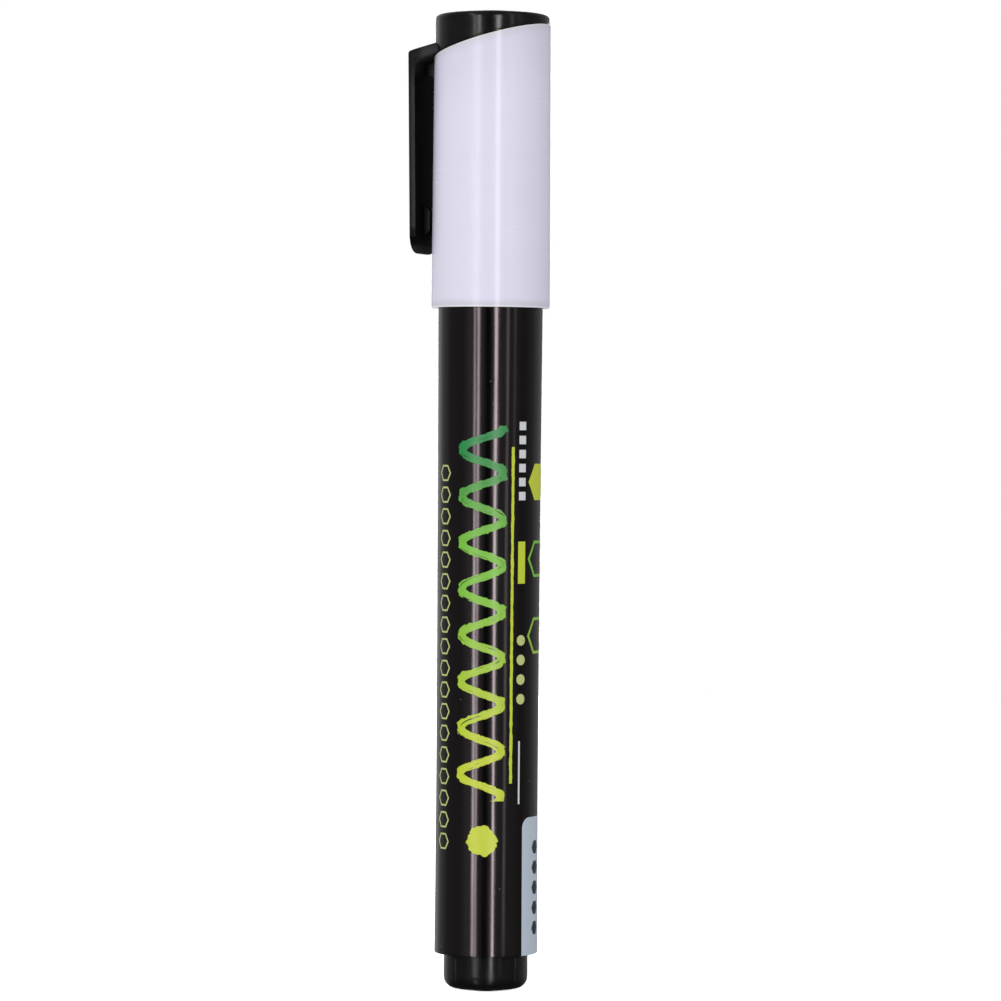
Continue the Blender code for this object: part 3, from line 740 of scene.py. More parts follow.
def model_ball():
    """Mixing ball: a subdivided block cast to a sphere."""
    radius = (ball_high.x - ball_low.x) / 2
    ball = block("shaker_ball", (-radius,) * 3, (radius,) * 3)
    apply(ball, "SUBSURF", subdivision_type="SIMPLE", levels=BALL_LEVELS, render_levels=BALL_LEVELS)
    apply(ball, "CAST", factor=1.0, size=radius, use_radius_as_size=False)
    pick(ball, "VERT", lambda vert: True)
    bpy.ops.transform.translate(value=(0.0, 0.0, ball_low.z + radius))
    bpy.ops.object.mode_set(mode="OBJECT")
    return ball


def slant(piece, lowest, highest):
    """Carries the rings of a turned piece between two heights onto the slanted seam."""
    for vert in piece.data.vertices:
        if lowest < vert.co.z < highest:
            vert.co.z += vert.co.x * SEAM_SLOPE


def model_cap():
    """Tapered cap tube with a snap bead and a ledge inside, its rim slanted along the seam."""
    rim = seam_height - SEAM_GAP / 2
    half = BEAD_LENGTH / 2
    ledge_bottom = ledge_height - BEAD_LENGTH
    ledge_width = CAP_BORE - CAP_LEDGE
    points = rounded([
        (CAP_TOP_RADIUS, rim, CAP_RIM),
        (mouth_radius, cap_mouth, MOUTH_EDGE),
        (MOUTH_BORE, cap_mouth, CAP_EDGE),
        (MOUTH_BORE, BEAD_HEIGHT - 2 * half, 0.0),
        (CAP_BEAD, BEAD_HEIGHT - half, FINE_EDGE),
        (CAP_BEAD, BEAD_HEIGHT + half, FINE_EDGE),
        (CAP_BORE, BEAD_HEIGHT + 2 * half, 0.0),
        (CAP_BORE, ledge_bottom - ledge_width, 0.0),
        (CAP_LEDGE, ledge_bottom, HAIR_EDGE),
        (CAP_LEDGE, ledge_height, HAIR_EDGE),
        (CAP_BORE, ledge_height, 0.0),
        (CAP_BORE, rim, CAP_EDGE),
    ])
    cap = turn("cap_tube", closed(points))
    slant(cap, rim - MM, rim + MM)
    return cap


def model_liner():
    """Seal cup over the nose, hung by its flange."""
    roof = liner_high.z - LINER_FLANGE
    points = rounded([
        (0.0, liner_high.z, 0.0),
        (SKIRT_RADIUS, liner_high.z, LIGHT_EDGE),
        (SKIRT_RADIUS, roof, LIGHT_EDGE),
        (LINER_RADIUS, roof, ROUND_EDGE),
        (LINER_RADIUS, liner_low.z, SOFT_EDGE),
        (LINER_BORE, liner_low.z, SOFT_EDGE),
        (LINER_BORE, roof, WIDE_EDGE),
        (0.0, roof, 0.0),
    ])
    return turn("seal_liner", points, INNER_TURN_STEPS)


def model_clip():
    """Clip plate and root: a tongue with a round end, its root drawn out to meet the crown."""
    inside = SKIRT_RADIUS - MM
    clip = block(
        "clip",
        (-clip_outer, -CLIP_WIDTH / 2, clip_tip),
        (-clip_inner, CLIP_WIDTH / 2, clip_top),
    )
    pick(clip, "FACE", lambda face: True)
    bpy.ops.mesh.bisect(plane_co=(0.0, 0.0, root_under), plane_no=(0.0, 0.0, 1.0), threshold=WELD)
    bpy.ops.object.mode_set(mode="OBJECT")
    pick(clip, "FACE", lambda face: face.normal.x > ALONG and face.center.z > root_under)
    reach = clip_inner - inside
    bpy.ops.mesh.extrude_region_move(TRANSFORM_OT_translate={"value": (reach, 0.0, 0.0)})
    bpy.ops.object.mode_set(mode="OBJECT")
    middle = (root_under + clip_top) / 2
    for vert in clip.data.vertices:
        upper = vert.co.z > middle
        side = math.copysign(1.0, vert.co.y)
        if vert.co.x > -inside - WELD:
            vert.co.y = side * (ROOT_TOP_WIDTH if upper else ROOT_FOOT_WIDTH) / 2
            vert.co.z = root_top_at(-inside) if upper else seam_at(-inside)
        elif vert.co.x < -clip_inner - WELD:
            vert.co.y -= side * CLIP_DRAFT
        if upper and abs(vert.co.x + clip_inner) < WELD:
            vert.co.z = root_top_at(-clip_inner)
        elif vert.co.x < -inside - WELD:
            vert.co.x += CLIP_LEAN * (clip_top - vert.co.z) / CLIP_LENGTH

    def along(edge, axis):
        a, b = ends(clip, edge)
        return abs((a - b).normalized()[axis]) > ALONG

    def low(edge, height):
        return all(abs(point.z - height) < LEVEL for point in ends(clip, edge))

    pick(clip, "EDGE", lambda edge: along(edge, 0) and low(edge, clip_tip))
    bpy.ops.mesh.bevel(offset=CLIP_TIP, segments=CLIP_TIP_STEPS, affect="EDGES")
    bpy.ops.object.mode_set(mode="OBJECT")
    apply(
        clip,
        "BEVEL",
        width=CLIP_EDGE,
        segments=CLIP_EDGE_STEPS,
        limit_method="ANGLE",
        angle_limit=BEVEL_ANGLE,
    )
    return clip


def model_crown():
    """Crown, skirt and clip in one moulding, with a gusset and a grip rib under the clip."""
    seam = seam_height + SEAM_GAP / 2
    points = rounded([
        (0.0, crown_top, 0.0),
        (CROWN_RADIUS, crown_top, CROWN_RIM),
        (CROWN_RADIUS, seam, CROWN_EDGE),
        (LIP_RADIUS, seam, 0.0),
        (LIP_RADIUS, seam - LIP_DROP, 0.0),
        (SKIRT_RADIUS, seam - LIP_DROP, 0.0),
        (SKIRT_RADIUS, skirt_bottom, SOFT_EDGE),
        (SKIRT_HOLLOW, skirt_bottom, SOFT_EDGE),
        (SKIRT_HOLLOW, crown_top - CROWN_ROOF, WIDE_EDGE),
        (0.0, crown_top - CROWN_ROOF, 0.0),
    ])
    crown = turn("crown_with_clip", points)
    slant(crown, seam - SEAM_REACH, seam + SEAM_REACH)
    combine(crown, model_clip(), "UNION")
    clear_of_cap = CAP_TOP_RADIUS + SEAT_GAP
    into_plate = CLIP_THICKNESS / 2
    gusset = block(
        "gusset",
        (-clip_inner - into_plate, -GUSSET_WIDTH / 2, root_under - GUSSET_LENGTH),
        (-clear_of_cap, GUSSET_WIDTH / 2, root_under + ROOT_DROP),
    )
    pick(gusset, "VERT", lambda vert: vert.co.x > -clear_of_cap - WELD)
    bpy.ops.transform.resize(value=(1.0, 1.0 + 2 * GUSSET_DRAFT / GUSSET_WIDTH, 1.0))
    bpy.ops.object.mode_set(mode="OBJECT")
    grip_low = clip_tip + GRIP_END
    lean = CLIP_LEAN * (clip_top - grip_low) / CLIP_LENGTH
    grip = block(
        "grip",
        (-clip_inner - into_plate + lean, -GRIP_WIDTH / 2, grip_low),
        (-mouth_radius - SEAT_GAP, GRIP_WIDTH / 2, grip_low + GRIP_LENGTH),
    )
    pick(grip, "VERT", lambda vert: vert.co.x > -mouth_radius - SEAT_GAP - WELD)
    bpy.ops.transform.resize(value=(1.0, 1.0, 1.0 - 2 * GRIP_RAMP / GRIP_LENGTH))
    bpy.ops.mesh.select_all(action="SELECT")
    bpy.ops.mesh.bevel(offset=RIB_EDGE, segments=RIB_STEPS, affect="EDGES")
    bpy.ops.object.mode_set(mode="OBJECT")
    for rib in (gusset, grip):
        combine(crown, rib, "UNION")
    return crown


# Finishes


class Finish:
    """A procedural material and the nodes it is built from."""

    def __init__(self, name, colour, roughness, metallic=0.0):
        self.material = bpy.data.materials.new(name)
        self.material.use_nodes = True
        self.tree = self.material.node_tree
        self.surface = self.tree.nodes["Principled BSDF"]
        self.set("Base Color", (*colour, 1.0))
        self.set("Roughness", roughness)
        self.set("Metallic", metallic)

    def set(self, socket, value):
        self.feed(self.surface.inputs[socket], value)

    def feed(self, socket, value):
        if isinstance(value, bpy.types.NodeSocket):
            self.tree.links.new(value, socket)
        else:
            socket.default_value = value

    def node(self, kind, **settings):
        node = self.tree.nodes.new("ShaderNode" + kind)
        for name, value in settings.items():
            setattr(node, name, value)
        return node

    def place(self, scale=(1.0, 1.0, 1.0), spin=0.0):
        """Object coordinates in millimetres, turned about the axis and stretched."""
        mapping = self.node("Mapping")
        self.feed(mapping.inputs["Vector"], self.node("TexCoord").outputs["Object"])
        mapping.inputs["Scale"].default_value = [part / MM for part in scale]
        mapping.inputs["Rotation"].default_value = (0.0, 0.0, spin)
        return mapping.outputs["Vector"]

    def parts(self, vector):
        """The X, Y and Z of a vector."""
        node = self.node("SeparateXYZ")
        self.feed(node.inputs[0], vector)
        return [node.outputs[axis] for axis in "XYZ"]

    def flat(self, across, along):
        """A vector in one plane."""
        node = self.node("CombineXYZ")
        self.feed(node.inputs["X"], across)
        self.feed(node.inputs["Y"], along)
        return node.outputs["Vector"]

    def math(self, operation, *values):
        node = self.node("Math", operation=operation)
        for socket, value in zip(node.inputs, values):
            self.feed(socket, value)
        return node.outputs["Value"]

    def noise(self, vector, scale, detail=2.0, roughness=0.5):
        node = self.node("TexNoise")
        self.feed(node.inputs["Vector"], vector)
        node.inputs["Scale"].default_value = scale
        node.inputs["Detail"].default_value = detail
        node.inputs["Roughness"].default_value = roughness
        return node.outputs["Fac"]

    def ease(self, value, start, end, low=0.0, high=1.0):
        """Carries a value from low to high as it goes from start to end."""
        node = self.node("MapRange", interpolation_type="SMOOTHSTEP")
        for socket, number in zip(node.inputs, (value, start, end, low, high)):
            self.feed(socket, number)
        return node.outputs["Result"]

    def mix(self, factor, first, second):
        node = self.node("Mix", data_type="RGBA")
        self.feed(node.inputs["Factor"], factor)
        for socket, colour in zip((node.inputs[6], node.inputs[7]), (first, second)):
            self.feed(socket, colour if isinstance(colour, bpy.types.NodeSocket) else (*colour, 1.0))
        return node.outputs[2]

    def bump(self, height, distance):
        node = self.node("Bump")
        node.inputs["Strength"].default_value = 1.0
        node.inputs["Distance"].default_value = distance
        self.feed(node.inputs["Height"], height)
        self.set("Normal", node.outputs["Normal"])


def above_seam(finish, drop):
    """Height in mm above the slanted seam lowered by a drop."""
    across, _, height = finish.parts(finish.place())
    seam = finish.math("MULTIPLY_ADD", across, SEAM_SLOPE, (seam_height - drop) / MM)
    return finish.math("SUBTRACT", height, seam)


def above_level(finish, level):
    """Height in mm above a level."""
    return finish.math("SUBTRACT", finish.parts(finish.place())[2], level / MM)


def root_gloss(finish):
    """The clip's root is duller towards its underside and the clip. The gusset under it shines."""
    above_root = above_seam(finish, ROOT_DROP)
    across = finish.parts(finish.place())[0]
    inner = -clip_inner / MM
    from_clip = finish.ease(across, inner + 0.3, inner + 1.5, low=0.25)
    root = finish.ease(above_root, 0.1, 0.8, low=0.12, high=0.6)
    gusset = finish.ease(above_root, -0.1, -0.5, high=0.4)
    return finish.math("MULTIPLY", finish.math("ADD", root, gusset), from_clip)


def side_gloss(finish):
    """The clip's sides are duller beside the root and near the tip."""
    beside_root = finish.ease(above_seam(finish, ROOT_DROP), -4.0, 0.0, low=0.33, high=0.12)
    clear_of_tip = finish.ease(above_level(finish, clip_tip), 3.2, 4.2, low=0.1)
    return finish.math("MULTIPLY", beside_root, clear_of_tip)


def satin_black(name, roughness, gloss=0.5, shade=0.003, painted_end_light=None):
    """Moulded black plastic, finely grained and clouded, with painted light that makes it paler under
    the clip's root and at its tip if asked.
    """
    dark = (shade, shade, shade * BLACK_TINT)
    light = tuple(part * BLACK_LIFT for part in dark)
    finish = Finish(name, dark, roughness)
    finish.set("Specular IOR Level", gloss(finish) if callable(gloss) else gloss)
    place = finish.place()
    cloud = finish.noise(place, CLOUD_SCALE, detail=3.0)
    colour = finish.mix(cloud, dark, light)
    if painted_end_light:
        # Painted light: a paler base colour under the clip's root and at its tip
        at_root = finish.ease(above_seam(finish, ROOT_DROP), -2.6, -0.2)
        at_tip = finish.ease(above_level(finish, clip_tip), 1.6, 0.5)
        colour = finish.mix(finish.math("MAXIMUM", at_root, at_tip), colour, (painted_end_light,) * 3)
    finish.set("Base Color", colour)
    duller = finish.ease(cloud, NOISE_LOW, NOISE_HIGH, roughness - 0.03, roughness + 0.04)
    finish.set("Roughness", duller)
    finish.bump(finish.noise(place, GRAIN_SCALE), GRAIN_DEPTH)
    return finish.material


def cap_plastic():
    """Pale gloss plastic with hairline scuffs; painted shade darkens it towards its rim and near both
    ends, and painted highlights make pale lines along its rim and mouth.
    """
    finish = Finish("cap_lavender_white", CAP_LAVENDER, CAP_ROUGHNESS)
    finish.set("Specular IOR Level", 0.3)
    place = finish.place()
    below_rim = finish.math("MULTIPLY", above_seam(finish, SEAM_GAP / 2), -1.0)
    above_mouth = above_level(finish, cap_mouth)
    to_edge = finish.math("MINIMUM", below_rim, above_mouth)
    colour = finish.mix(finish.noise(place, 0.22, detail=3.0), CAP_DEEP, CAP_PALE)
    # Painted shade towards the rim and near both ends, then painted highlights along the rim and the
    # mouth
    for distance, span, shade in (
        (below_rim, PAINTED_TOP_SHADE_FROM, CAP_PAINTED_TOP_SHADE),
        (to_edge, SHADED_FROM, CAP_SHADED),
        (below_rim, RIM_HIGHLIGHT_FROM, RIM_PAINTED_HIGHLIGHT),
        (above_mouth, MOUTH_HIGHLIGHT_FROM, MOUTH_PAINTED_HIGHLIGHT),
    ):
        colour = finish.mix(finish.ease(distance, *span), colour, shade)
    finish.set("Base Color", colour)
    lines = finish.noise(finish.place((0.12, 0.12, 3.2)), 1.0, detail=3.0, roughness=0.6)
    patches = finish.noise(place, 0.13, detail=1.0)
    scuffs = finish.math("MULTIPLY", finish.ease(lines, 0.62, 0.68), finish.ease(patches, 0.5, 0.6))
    finish.set("Roughness", finish.ease(scuffs, 0.0, 1.0, CAP_ROUGHNESS, SCUFF_ROUGHNESS))
    finish.bump(scuffs, -SCUFF_DEPTH)
    return finish.material


def natural_plastic(name, colour):
    """Unpigmented moulded plastic, faintly clouded."""
    finish = Finish(name, colour, roughness=0.42)
    cloud = finish.noise(finish.place(), 0.5, detail=3.0)
    pale = tuple(min(1.0, part * 1.05) for part in colour)
    finish.set("Base Color", finish.mix(cloud, colour, pale))
    finish.bump(finish.noise(finish.place(), 5.0), distance=0.01 * MM)
    return finish.material


def nib_felt():
    """Bonded felt: short fibres that mostly run along the nib."""
    finish = Finish("nib_felt", FELT, roughness=0.95)
    fibres = finish.noise(finish.place((1.0, 1.0, 0.22)), 6.0, detail=4.0, roughness=0.65)
    finish.set("Base Color", finish.mix(fibres, DARK_FELT, LIGHT_FELT))
    finish.bump(fibres, distance=0.09 * MM)
    return finish.material


def bright_steel(name, roughness, stretch):
    """Steel with fine drawing or polishing lines."""
    finish = Finish(name, STEEL, roughness, metallic=1.0)
    lines = finish.noise(finish.place(stretch), 9.0)
    finish.set("Base Color", finish.mix(lines, DARK_STEEL, LIGHT_STEEL))
    duller = finish.ease(lines, NOISE_LOW, NOISE_HIGH, roughness * 0.8, roughness * 1.25)
    finish.set("Roughness", duller)
    return finish.material


class Print:
    """Inks laid one over another on the barrel, placed in mm across its side and along its axis."""

    def __init__(self, finish, ground):
        self.finish = finish
        self.colour = ground
        self.cover = 0.0
        ahead, aside, self.along = finish.parts(finish.place(spin=PRINT_TURN))
        angle = finish.math("ARCTAN2", aside, ahead)
        self.across = finish.math("MULTIPLY", angle, WAIST_RADIUS / MM)

    def gap(self, value, middle, pitch=0.0):
        """Distance from a middle, or from the nearest one of a row with a pitch."""
        gap = self.finish.math("SUBTRACT", value, middle)
        if pitch:
            gap = self.finish.math("WRAP", gap, pitch / 2, -pitch / 2)
        return self.finish.math("ABSOLUTE", gap)

    def within(self, distance, limit):
        """One where a distance is below its limit."""
        return self.finish.ease(distance, limit + INK_EDGE, limit - INK_EDGE)

    def bar(self, middle, height, width, length, pitch=0.0):
        """A bar across a middle and a height, or a row of bars."""
        wide = self.within(self.gap(self.across, middle), width / 2)
        tall = self.within(self.gap(self.along, height, pitch), length / 2)
        return self.finish.math("MULTIPLY", wide, tall)

    def hexagon(self, middle, height, pitch=0.0):
        """Distance from the middle of a honeycomb cell, equal on all six sides."""
        aside = self.gap(self.across, middle)
        above = self.gap(self.along, height, pitch)
        slanted = self.finish.math("MULTIPLY", aside, math.sqrt(3))
        slanted = self.finish.math("MULTIPLY", self.finish.math("ADD", slanted, above), 0.5)
        return self.finish.math("MAXIMUM", above, slanted)

    def round(self, middle, height, pitch=0.0):
        """Distance from the middle of a dot, or of the nearest dot of a row."""
        aside = self.gap(self.across, middle)
        above = self.gap(self.along, height, pitch)
        square = self.finish.math("MULTIPLY", aside, aside)
        return self.finish.math("SQRT", self.finish.math("MULTIPLY_ADD", above, above, square))

    def outline(self, distance, limit, line):
        """A line just inside a limit."""
        return self.finish.math(
            "SUBTRACT", self.within(distance, limit), self.within(distance, limit - line)
        )

    def rows(self, low, high):
        """One between two heights."""
        return self.within(self.gap(self.along, (low + high) / 2), (high - low) / 2)

    def lay(self, ink, *masks):
        """Lays an ink where all its masks are one."""
        share = masks[0]
        for mask in masks[1:]:
            share = self.finish.math("MULTIPLY", share, mask)
        self.colour = self.finish.mix(share, self.colour, ink)
        self.cover = self.finish.math("MAXIMUM", share, self.cover)


def lay_wave(design, ink):
    """A dry brush wave along the barrel, with ragged edges and bristle streaks."""
    finish = design.finish
    phase = finish.math("MULTIPLY", design.along, math.tau / WAVE_PITCH)
    swing = finish.math("MULTIPLY_ADD", finish.math("SINE", phase), WAVE_SWING, WAVE_MIDDLE)
    steep = WAVE_SWING * math.tau / WAVE_PITCH
    slope = finish.math("MULTIPLY", finish.math("COSINE", phase), steep)
    stretch = finish.math("SQRT", finish.math("MULTIPLY_ADD", slope, slope, 1.0))
    offset = finish.math("SUBTRACT", design.across, swing)
    from_line = finish.math("DIVIDE", offset, stretch)
    edge = finish.noise(finish.place(), 1.3, detail=4.0, roughness=0.6)
    ragged = finish.math("MULTIPLY_ADD", edge, WAVE_FRAY, finish.math("ABSOLUTE", from_line))
    brush_across = finish.math("MULTIPLY", from_line, 5.0)
    brush_along = finish.math("MULTIPLY", design.along, 0.5)
    streaks = finish.noise(finish.flat(brush_across, brush_along), 1.0, detail=3.0, roughness=0.6)
    dry = finish.ease(streaks, 0.33, 0.39)
    stroke = design.within(ragged, (WAVE_STROKE + WAVE_FRAY) / 2)
    design.lay(ink, stroke, dry, design.rows(*WAVE_ROWS))


def lay_panel(design):
    """A pale panel at the rear, its upper left corner rounded."""
    finish = design.finish
    corner_across = PANEL_LEFT + PANEL_CORNER
    corner_along = PANEL_TOP - PANEL_CORNER
    corner = design.within(design.round(corner_across, corner_along), PANEL_CORNER)
    beyond = finish.math("GREATER_THAN", design.across, corner_across)
    below = finish.math("LESS_THAN", design.along, corner_along)
    square = finish.math("MAXIMUM", finish.math("MAXIMUM", beyond, below), corner)
    from_middle = design.gap(design.across, PANEL_LEFT + PANEL_WIDTH / 2)
    wide = design.within(from_middle, PANEL_WIDTH / 2)
    design.lay(PANEL_INK, wide, square, design.within(design.along, PANEL_TOP))


def lay_dust(design):
    """Pale specks scattered over the film."""
    finish = design.finish
    dust = finish.node("TexVoronoi", voronoi_dimensions="2D")
    finish.feed(dust.inputs["Vector"], finish.flat(design.across, design.along))
    finish.feed(dust.inputs["Scale"], 1 / DUST_SPACING)
    from_speck = finish.math("MULTIPLY", dust.outputs["Distance"], DUST_SPACING)
    design.lay(DUST_GREY, design.within(from_speck, DUST_RADIUS))


def printed_gloss():
    """Gloss black film with a print: a brush wave, honeycomb cells, dots, bars and a pale panel."""
    finish = Finish("barrel_printed_gloss", FILM_BLACK, roughness=0.12)
    finish.set("Specular IOR Level", 0.7)
    finish.set("Specular Tint", FILM_TINT)
    streaks = finish.noise(finish.place((1.0, 1.0, 0.03)), 2.0)
    finish.bump(streaks, distance=0.004 * MM)

    design = Print(finish, FILM_BLACK)
    lime_to_leaf = finish.mix(finish.ease(design.along, 30.0, 62.0), LIME_INK, LEAF_INK)
    lime_to_green = finish.mix(finish.ease(design.along, 62.0, 79.0), lime_to_leaf, GREEN_INK)
    lay_wave(design, lime_to_green)
    ragged = finish.noise(finish.place(), 0.9, detail=4.0, roughness=0.6)
    line = finish.math("MULTIPLY_ADD", ragged, 0.3, design.gap(design.across, 3.5))
    design.lay(LIME_INK, design.within(line, 0.37), design.rows(30.0, 78.0))
    dab = finish.math("MULTIPLY_ADD", ragged, 1.6, design.round(-0.6, height=21.8))
    design.lay(LIME_INK, design.within(dab, 2.9))
    cells = design.hexagon(LEFT_COLUMN, height=21.5, pitch=3.1)
    design.lay(PALE_LIME_INK, design.outline(cells, CELL, line=0.24), design.rows(19.9, 75.7))
    squares = design.bar(MIDDLE_COLUMN, height=71.0, width=1.2, length=1.2, pitch=2.0)
    design.lay(WHITE_INK, squares, design.rows(70.0, 82.0))
    design.lay(LIME_INK, design.bar(MIDDLE_COLUMN, height=61.5, width=1.3, length=6.0))
    dots = design.within(design.round(MIDDLE_COLUMN, height=42.0, pitch=2.8), 0.75)
    design.lay(PALE_LIME_INK, dots, design.rows(40.6, 51.8))
    design.lay(WHITE_INK, design.bar(4.9, height=31.5, width=0.3, length=9.0))
    design.lay(LIME_INK, design.within(design.hexagon(RIGHT_COLUMN, height=73.0), BIG_CELL))
    for height in (62.0, 51.0):
        cell = design.hexagon(RIGHT_COLUMN, height)
        design.lay(lime_to_green, design.outline(cell, BIG_CELL, line=0.4))
    lay_panel(design)
    marks = design.within(design.hexagon(MARK_COLUMN, height=9.0, pitch=2.9), 0.95)
    design.lay(FILM_BLACK, marks, design.rows(7.6, 22.0))
    lay_dust(design)

    east, north, _ = finish.parts(finish.place())
    outward = finish.node("VectorMath", operation="LENGTH")
    finish.feed(outward.inputs[0], finish.flat(east, north))
    outside = finish.ease(outward.outputs["Value"], PRINT_DEPTH, PRINT_DEPTH + PRINT_FADE)
    inked = finish.math("MULTIPLY", outside, design.cover)
    gloss = finish.ease(streaks, NOISE_LOW, NOISE_HIGH, low=0.11, high=0.15)
    finish.set("Base Color", finish.mix(outside, FILM_BLACK, design.colour))
    finish.set("Roughness", finish.math("MULTIPLY_ADD", inked, INK_ROUGHNESS, gloss))
    return finish.material


# Stage


def make_floor():
    """A pale floor that keeps the marker's shadow and shows white to the camera."""
    deselect()
    bpy.ops.mesh.primitive_circle_add(vertices=FLOOR_SIDES, radius=FLOOR_RADIUS, fill_type="NGON")
    floor = bpy.context.object
    floor.name = "floor"
    finish = Finish("floor_pale", FLOOR_GREY, roughness=0.9)
    tree = finish.tree
    to_lens = finish.node("LightPath").outputs["Is Camera Ray"]
    glow = finish.node("Emission")
    both = finish.node("AddShader")
    finish.feed(glow.inputs["Strength"], finish.math("MULTIPLY", to_lens, FLOOR_GLOW))
    tree.links.new(finish.surface.outputs[0], both.inputs[0])
    tree.links.new(glow.outputs[0], both.inputs[1])
    tree.links.new(both.outputs[0], tree.nodes["Material Output"].inputs["Surface"])
    floor.data.materials.append(finish.material)
    floor.visible_glossy = False
    floor.visible_shadow = False


def make_world():
    """White to the camera and an even grey room for the light. Reflections see the studio's walls."""
    world = bpy.data.worlds.new("studio")
    world.use_nodes = True
    bpy.context.scene.world = world
    tree = world.node_tree
    background = tree.nodes["Background"]
    background.inputs["Color"].default_value = (1.0, 1.0, 1.0, 1.0)

    def node(kind, *feeds, **settings):
        made = tree.nodes.new("ShaderNode" + kind)
        for name, value in settings.items():
            setattr(made, name, value)
        for socket, value in zip(made.inputs, feeds):
            if isinstance(value, bpy.types.NodeSocket):
                tree.links.new(value, socket)
            elif value is not None:
                socket.default_value = value
        return made.outputs

    direction = node("TexCoord")["Generated"]
    ahead = node("VectorMath", direction, to_camera, operation="DOT_PRODUCT")["Value"]
    aside = node("VectorMath", direction, to_right, operation="DOT_PRODUCT")["Value"]
    bearing = node("Math", aside, ahead, operation="ARCTAN2")["Value"]
    share = node("MapRange", bearing, -math.pi, math.pi)["Result"]
    stops = node("ValToRGB", share)["Color"]
    ramp = stops.node.color_ramp
    ramp.interpolation = "EASE"
    ends_used = len(ramp.elements)
    for i, (angle, grey) in enumerate(STUDIO_WALLS):
        place = (angle + 180.0) / 360.0
        stop = ramp.elements[i] if i < ends_used else ramp.elements.new(place)
        stop.position = place
        stop.color = (grey, grey, grey, 1.0)
    height = node("SeparateXYZ", direction)["Z"]
    above = node("MapRange", height, WALL_FOOT, WALL_SHADE, WALL_FOOT_SHARE, 1.0)["Result"]
    walls = node("Math", stops, above, operation="MULTIPLY")["Value"]
    room = node("Math", ahead, ROOM_FRONT, ROOM_LIGHT, operation="MULTIPLY_ADD")["Value"]
    room = node("Math", aside, ROOM_RIGHT, room, operation="MULTIPLY_ADD")["Value"]
    light_path = node("LightPath")
    lit = node("Mix", light_path["Is Glossy Ray"], None, room, walls)[0]
    seen = node("Mix", light_path["Is Camera Ray"], None, lit, 1.0)[0]
    tree.links.new(seen, background.inputs["Strength"])


def strip_light(name, angle, radiance, width, low, high, lean=0.0, fills=True, shows=True):
    """A strip lamp, a metre from the marker, at an angle to the right of the camera, leaning left.

    One that fills lights matt surfaces, and one that shows is seen in reflections.
    """
    turn_to = math.radians(angle)
    direction = to_camera * math.cos(turn_to) + to_right * math.sin(turn_to)
    along = Vector((0.0, 0.0, 1.0)) - Vector((0.0, 0.0, 1.0)).cross(direction) * lean
    height = (high - low) * along.length
    middle = (high + low) / 2
    place = direction + along * (middle - CAMERA_HEIGHT) + Vector((0.0, 0.0, CAMERA_HEIGHT))
    deselect()
    bpy.ops.object.light_add(type="AREA", location=place)
    lamp = bpy.context.object
    lamp.name = name
    facing = (-direction).to_track_quat("-Z", "Y")
    lamp.rotation_euler = (facing @ Quaternion((0.0, 0.0, 1.0), math.atan(lean))).to_euler()
    lamp.data.shape = "RECTANGLE"
    lamp.data.size = width
    lamp.data.size_y = height
    lamp.data.energy = radiance * math.pi * width * height
    lamp.data.color = LAMP_COLOUR
    lamp.visible_diffuse = fills
    lamp.visible_glossy = shows


def make_camera():
    """Camera at the photograph's viewing angle."""
    aim = to_right * CAMERA_ASIDE + to_camera * CAMERA_DISTANCE
    deselect()
    bpy.ops.object.camera_add(location=aim + Vector((0.0, 0.0, CAMERA_HEIGHT)))
    camera = bpy.context.object
    pitch = math.atan2(CAMERA_HEIGHT - AIM_HEIGHT, CAMERA_DISTANCE)
    camera.rotation_euler = (math.pi / 2 - pitch, -CAMERA_ROLL, CAMERA_AZIMUTH)
    camera.data.sensor_width = SENSOR_WIDTH
    camera.data.lens = SENSOR_WIDTH * PIXELS_PER_METRE * CAMERA_DISTANCE / FRAME_PIXELS
    camera.data.clip_start = NEAREST_SEEN
    bpy.context.scene.camera = camera


def clip_finish(face):
    """A crown face's finish: 0 the crown's own, 1 the clip's inside, 2 its sides, 3 its root. 1 to 3
    are copies of the crown's black whose base colours hold painted shade and painted light.
    """
    place, away = face.center, face.normal
    ramp = min(away.x, away.z) > RAMP_FACING and place.z < clip_top - CLIP_LENGTH / 2
    inside = place.x < -CROWN_RADIUS and (ramp or away.x > INSIDE_FACING)
    on_clip = place.x < -SKIRT_RADIUS
    if inside or (on_clip and away.z < -UNDER_FACING):
        return 1
    if on_clip and abs(away.y) > SIDE_FACING:
        return 2 if place.x < -clip_inner + CLIP_EDGE else 3
    return 0


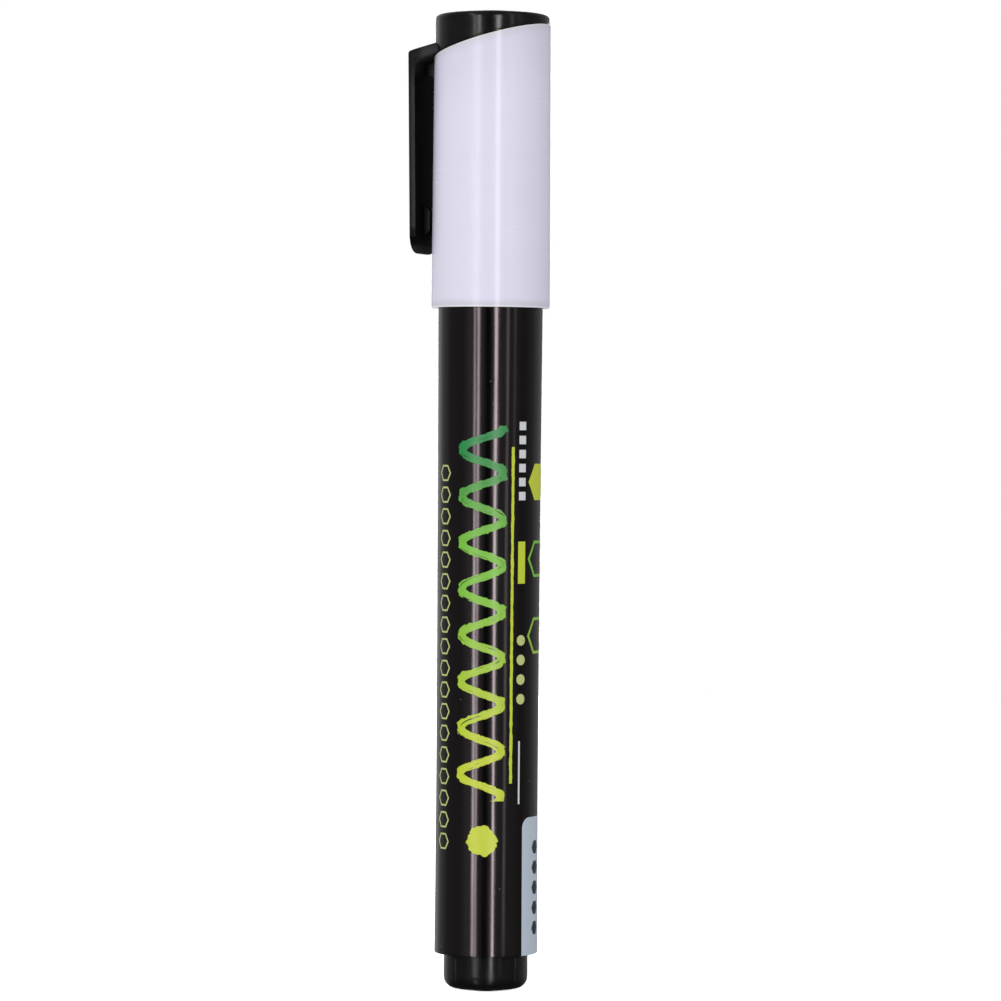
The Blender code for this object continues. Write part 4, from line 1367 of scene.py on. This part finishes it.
def build():
    """Models every piece and gives it its finish, and gives the spring a mesh of its own."""
    black_crown = satin_black("crown_satin_black", roughness=0.17, gloss=0.39)
    # The clip's inside has a darker base than the crown's black as painted shade, with painted light
    # at its root and tip; the paler bases of the sides and root are painted light
    clip_inside = satin_black("clip_inside_matt", 0.75, gloss=0.05, shade=0.001, painted_end_light=0.018)
    clip_side = satin_black("clip_side_satin", 0.36, side_gloss, shade=0.005)
    clip_root = satin_black("clip_root_satin", 0.36, root_gloss, shade=0.004)
    black_plug = satin_black("plug_satin_black", roughness=0.18, gloss=0.32)
    black_holder = satin_black("holder_satin_black", roughness=0.45)
    liner = natural_plastic("liner_natural", LINER_WHITE)
    valve = natural_plastic("valve_natural", VALVE_WHITE)
    wire = bright_steel("spring_wire", roughness=0.3, stretch=(1.0, 1.0, 0.3))
    polished = bright_steel("ball_polished", roughness=0.12, stretch=(1.0, 1.0, 1.0))
    finish_piece(model_barrel(), "barrel", "barrel", printed_gloss())
    finish_piece(model_plug(), "end_plug", "barrel", black_plug)
    finish_piece(model_holder(), "nib_holder", "barrel", black_holder)
    finish_piece(model_housing(), "valve_housing", "barrel", valve)
    finish_piece(model_retainer(), "spring_retainer", "barrel", valve)
    finish_piece(model_plunger(), "valve_plunger", "pump", valve)
    finish_piece(model_nib(), "nib", "pump", nib_felt())
    finish_piece(model_cap(), "cap_shell", "cap", cap_plastic())
    crown = model_crown()
    finish_piece(crown, "clip_crown", "cap", black_crown)
    for finish in (clip_inside, clip_side, clip_root):
        crown.data.materials.append(finish)
    for face in crown.data.polygons:
        face.material_index = clip_finish(face)
    finish_piece(model_liner(), "inner_cap", "cap", liner)
    finish_piece(model_ball(), "mixing_ball", "ball", polished)
    spring = model_spring()
    finish_piece(spring, "valve_spring", "barrel", wire)
    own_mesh(spring)


build()
make_floor()
make_world()
# Name, bearing, brightness, width, bottom, top and lean of each lamp
strip_light("strip_far_left_low", -33.5, 9.0, 0.075, LAMP_LEFT_LOW, LAMP_SPLIT, 0.3)
strip_light("strip_far_left_high", -33.5, 4.0, 0.075, LAMP_SPLIT, LAMP_HIGH, 0.3)
strip_light("strip_left_low", -25.5, 5.0, 0.09, LAMP_LEFT_LOW, LAMP_SPLIT, 0.13)
strip_light("strip_left_high", -25.5, 7.0, 0.08, LAMP_SPLIT, LAMP_TOP, 0.13)
strip_light("strip_left_top", -25.5, 7.0, 0.08, LAMP_TOP, LAMP_HIGH, 0.13, shows=False)
strip_light("strip_right_low", 12.7, 10.5, 0.085, LAMP_RIGHT_LOW, LAMP_SPLIT, 0.17, fills=False)
strip_light("strip_right_high", 13.3, 10.5, 0.11, LAMP_SPLIT, LAMP_TOP, 0.17, fills=False)
strip_light("strip_side", 39.5, 1.2, 0.1, LAMP_SIDE_LOW, LAMP_HIGH)
strip_light("strip_far_side", 56.5, 0.5, 0.1, LAMP_SPLIT, LAMP_HIGH)
strip_light("strip_back_left", -174.0, 4.0, 0.12, LAMP_RIGHT_LOW, LAMP_HIGH)
strip_light("strip_back_right", 174.0, 4.0, 0.12, LAMP_RIGHT_LOW, LAMP_HIGH)
for angle in UNDER_ANGLES:
    strip_light("strip_under", angle, 3.2, 0.1, UNDER_LOW, UNDER_HIGH, fills=False)
make_camera()
bpy.context.scene.view_settings.view_transform = "Standard"
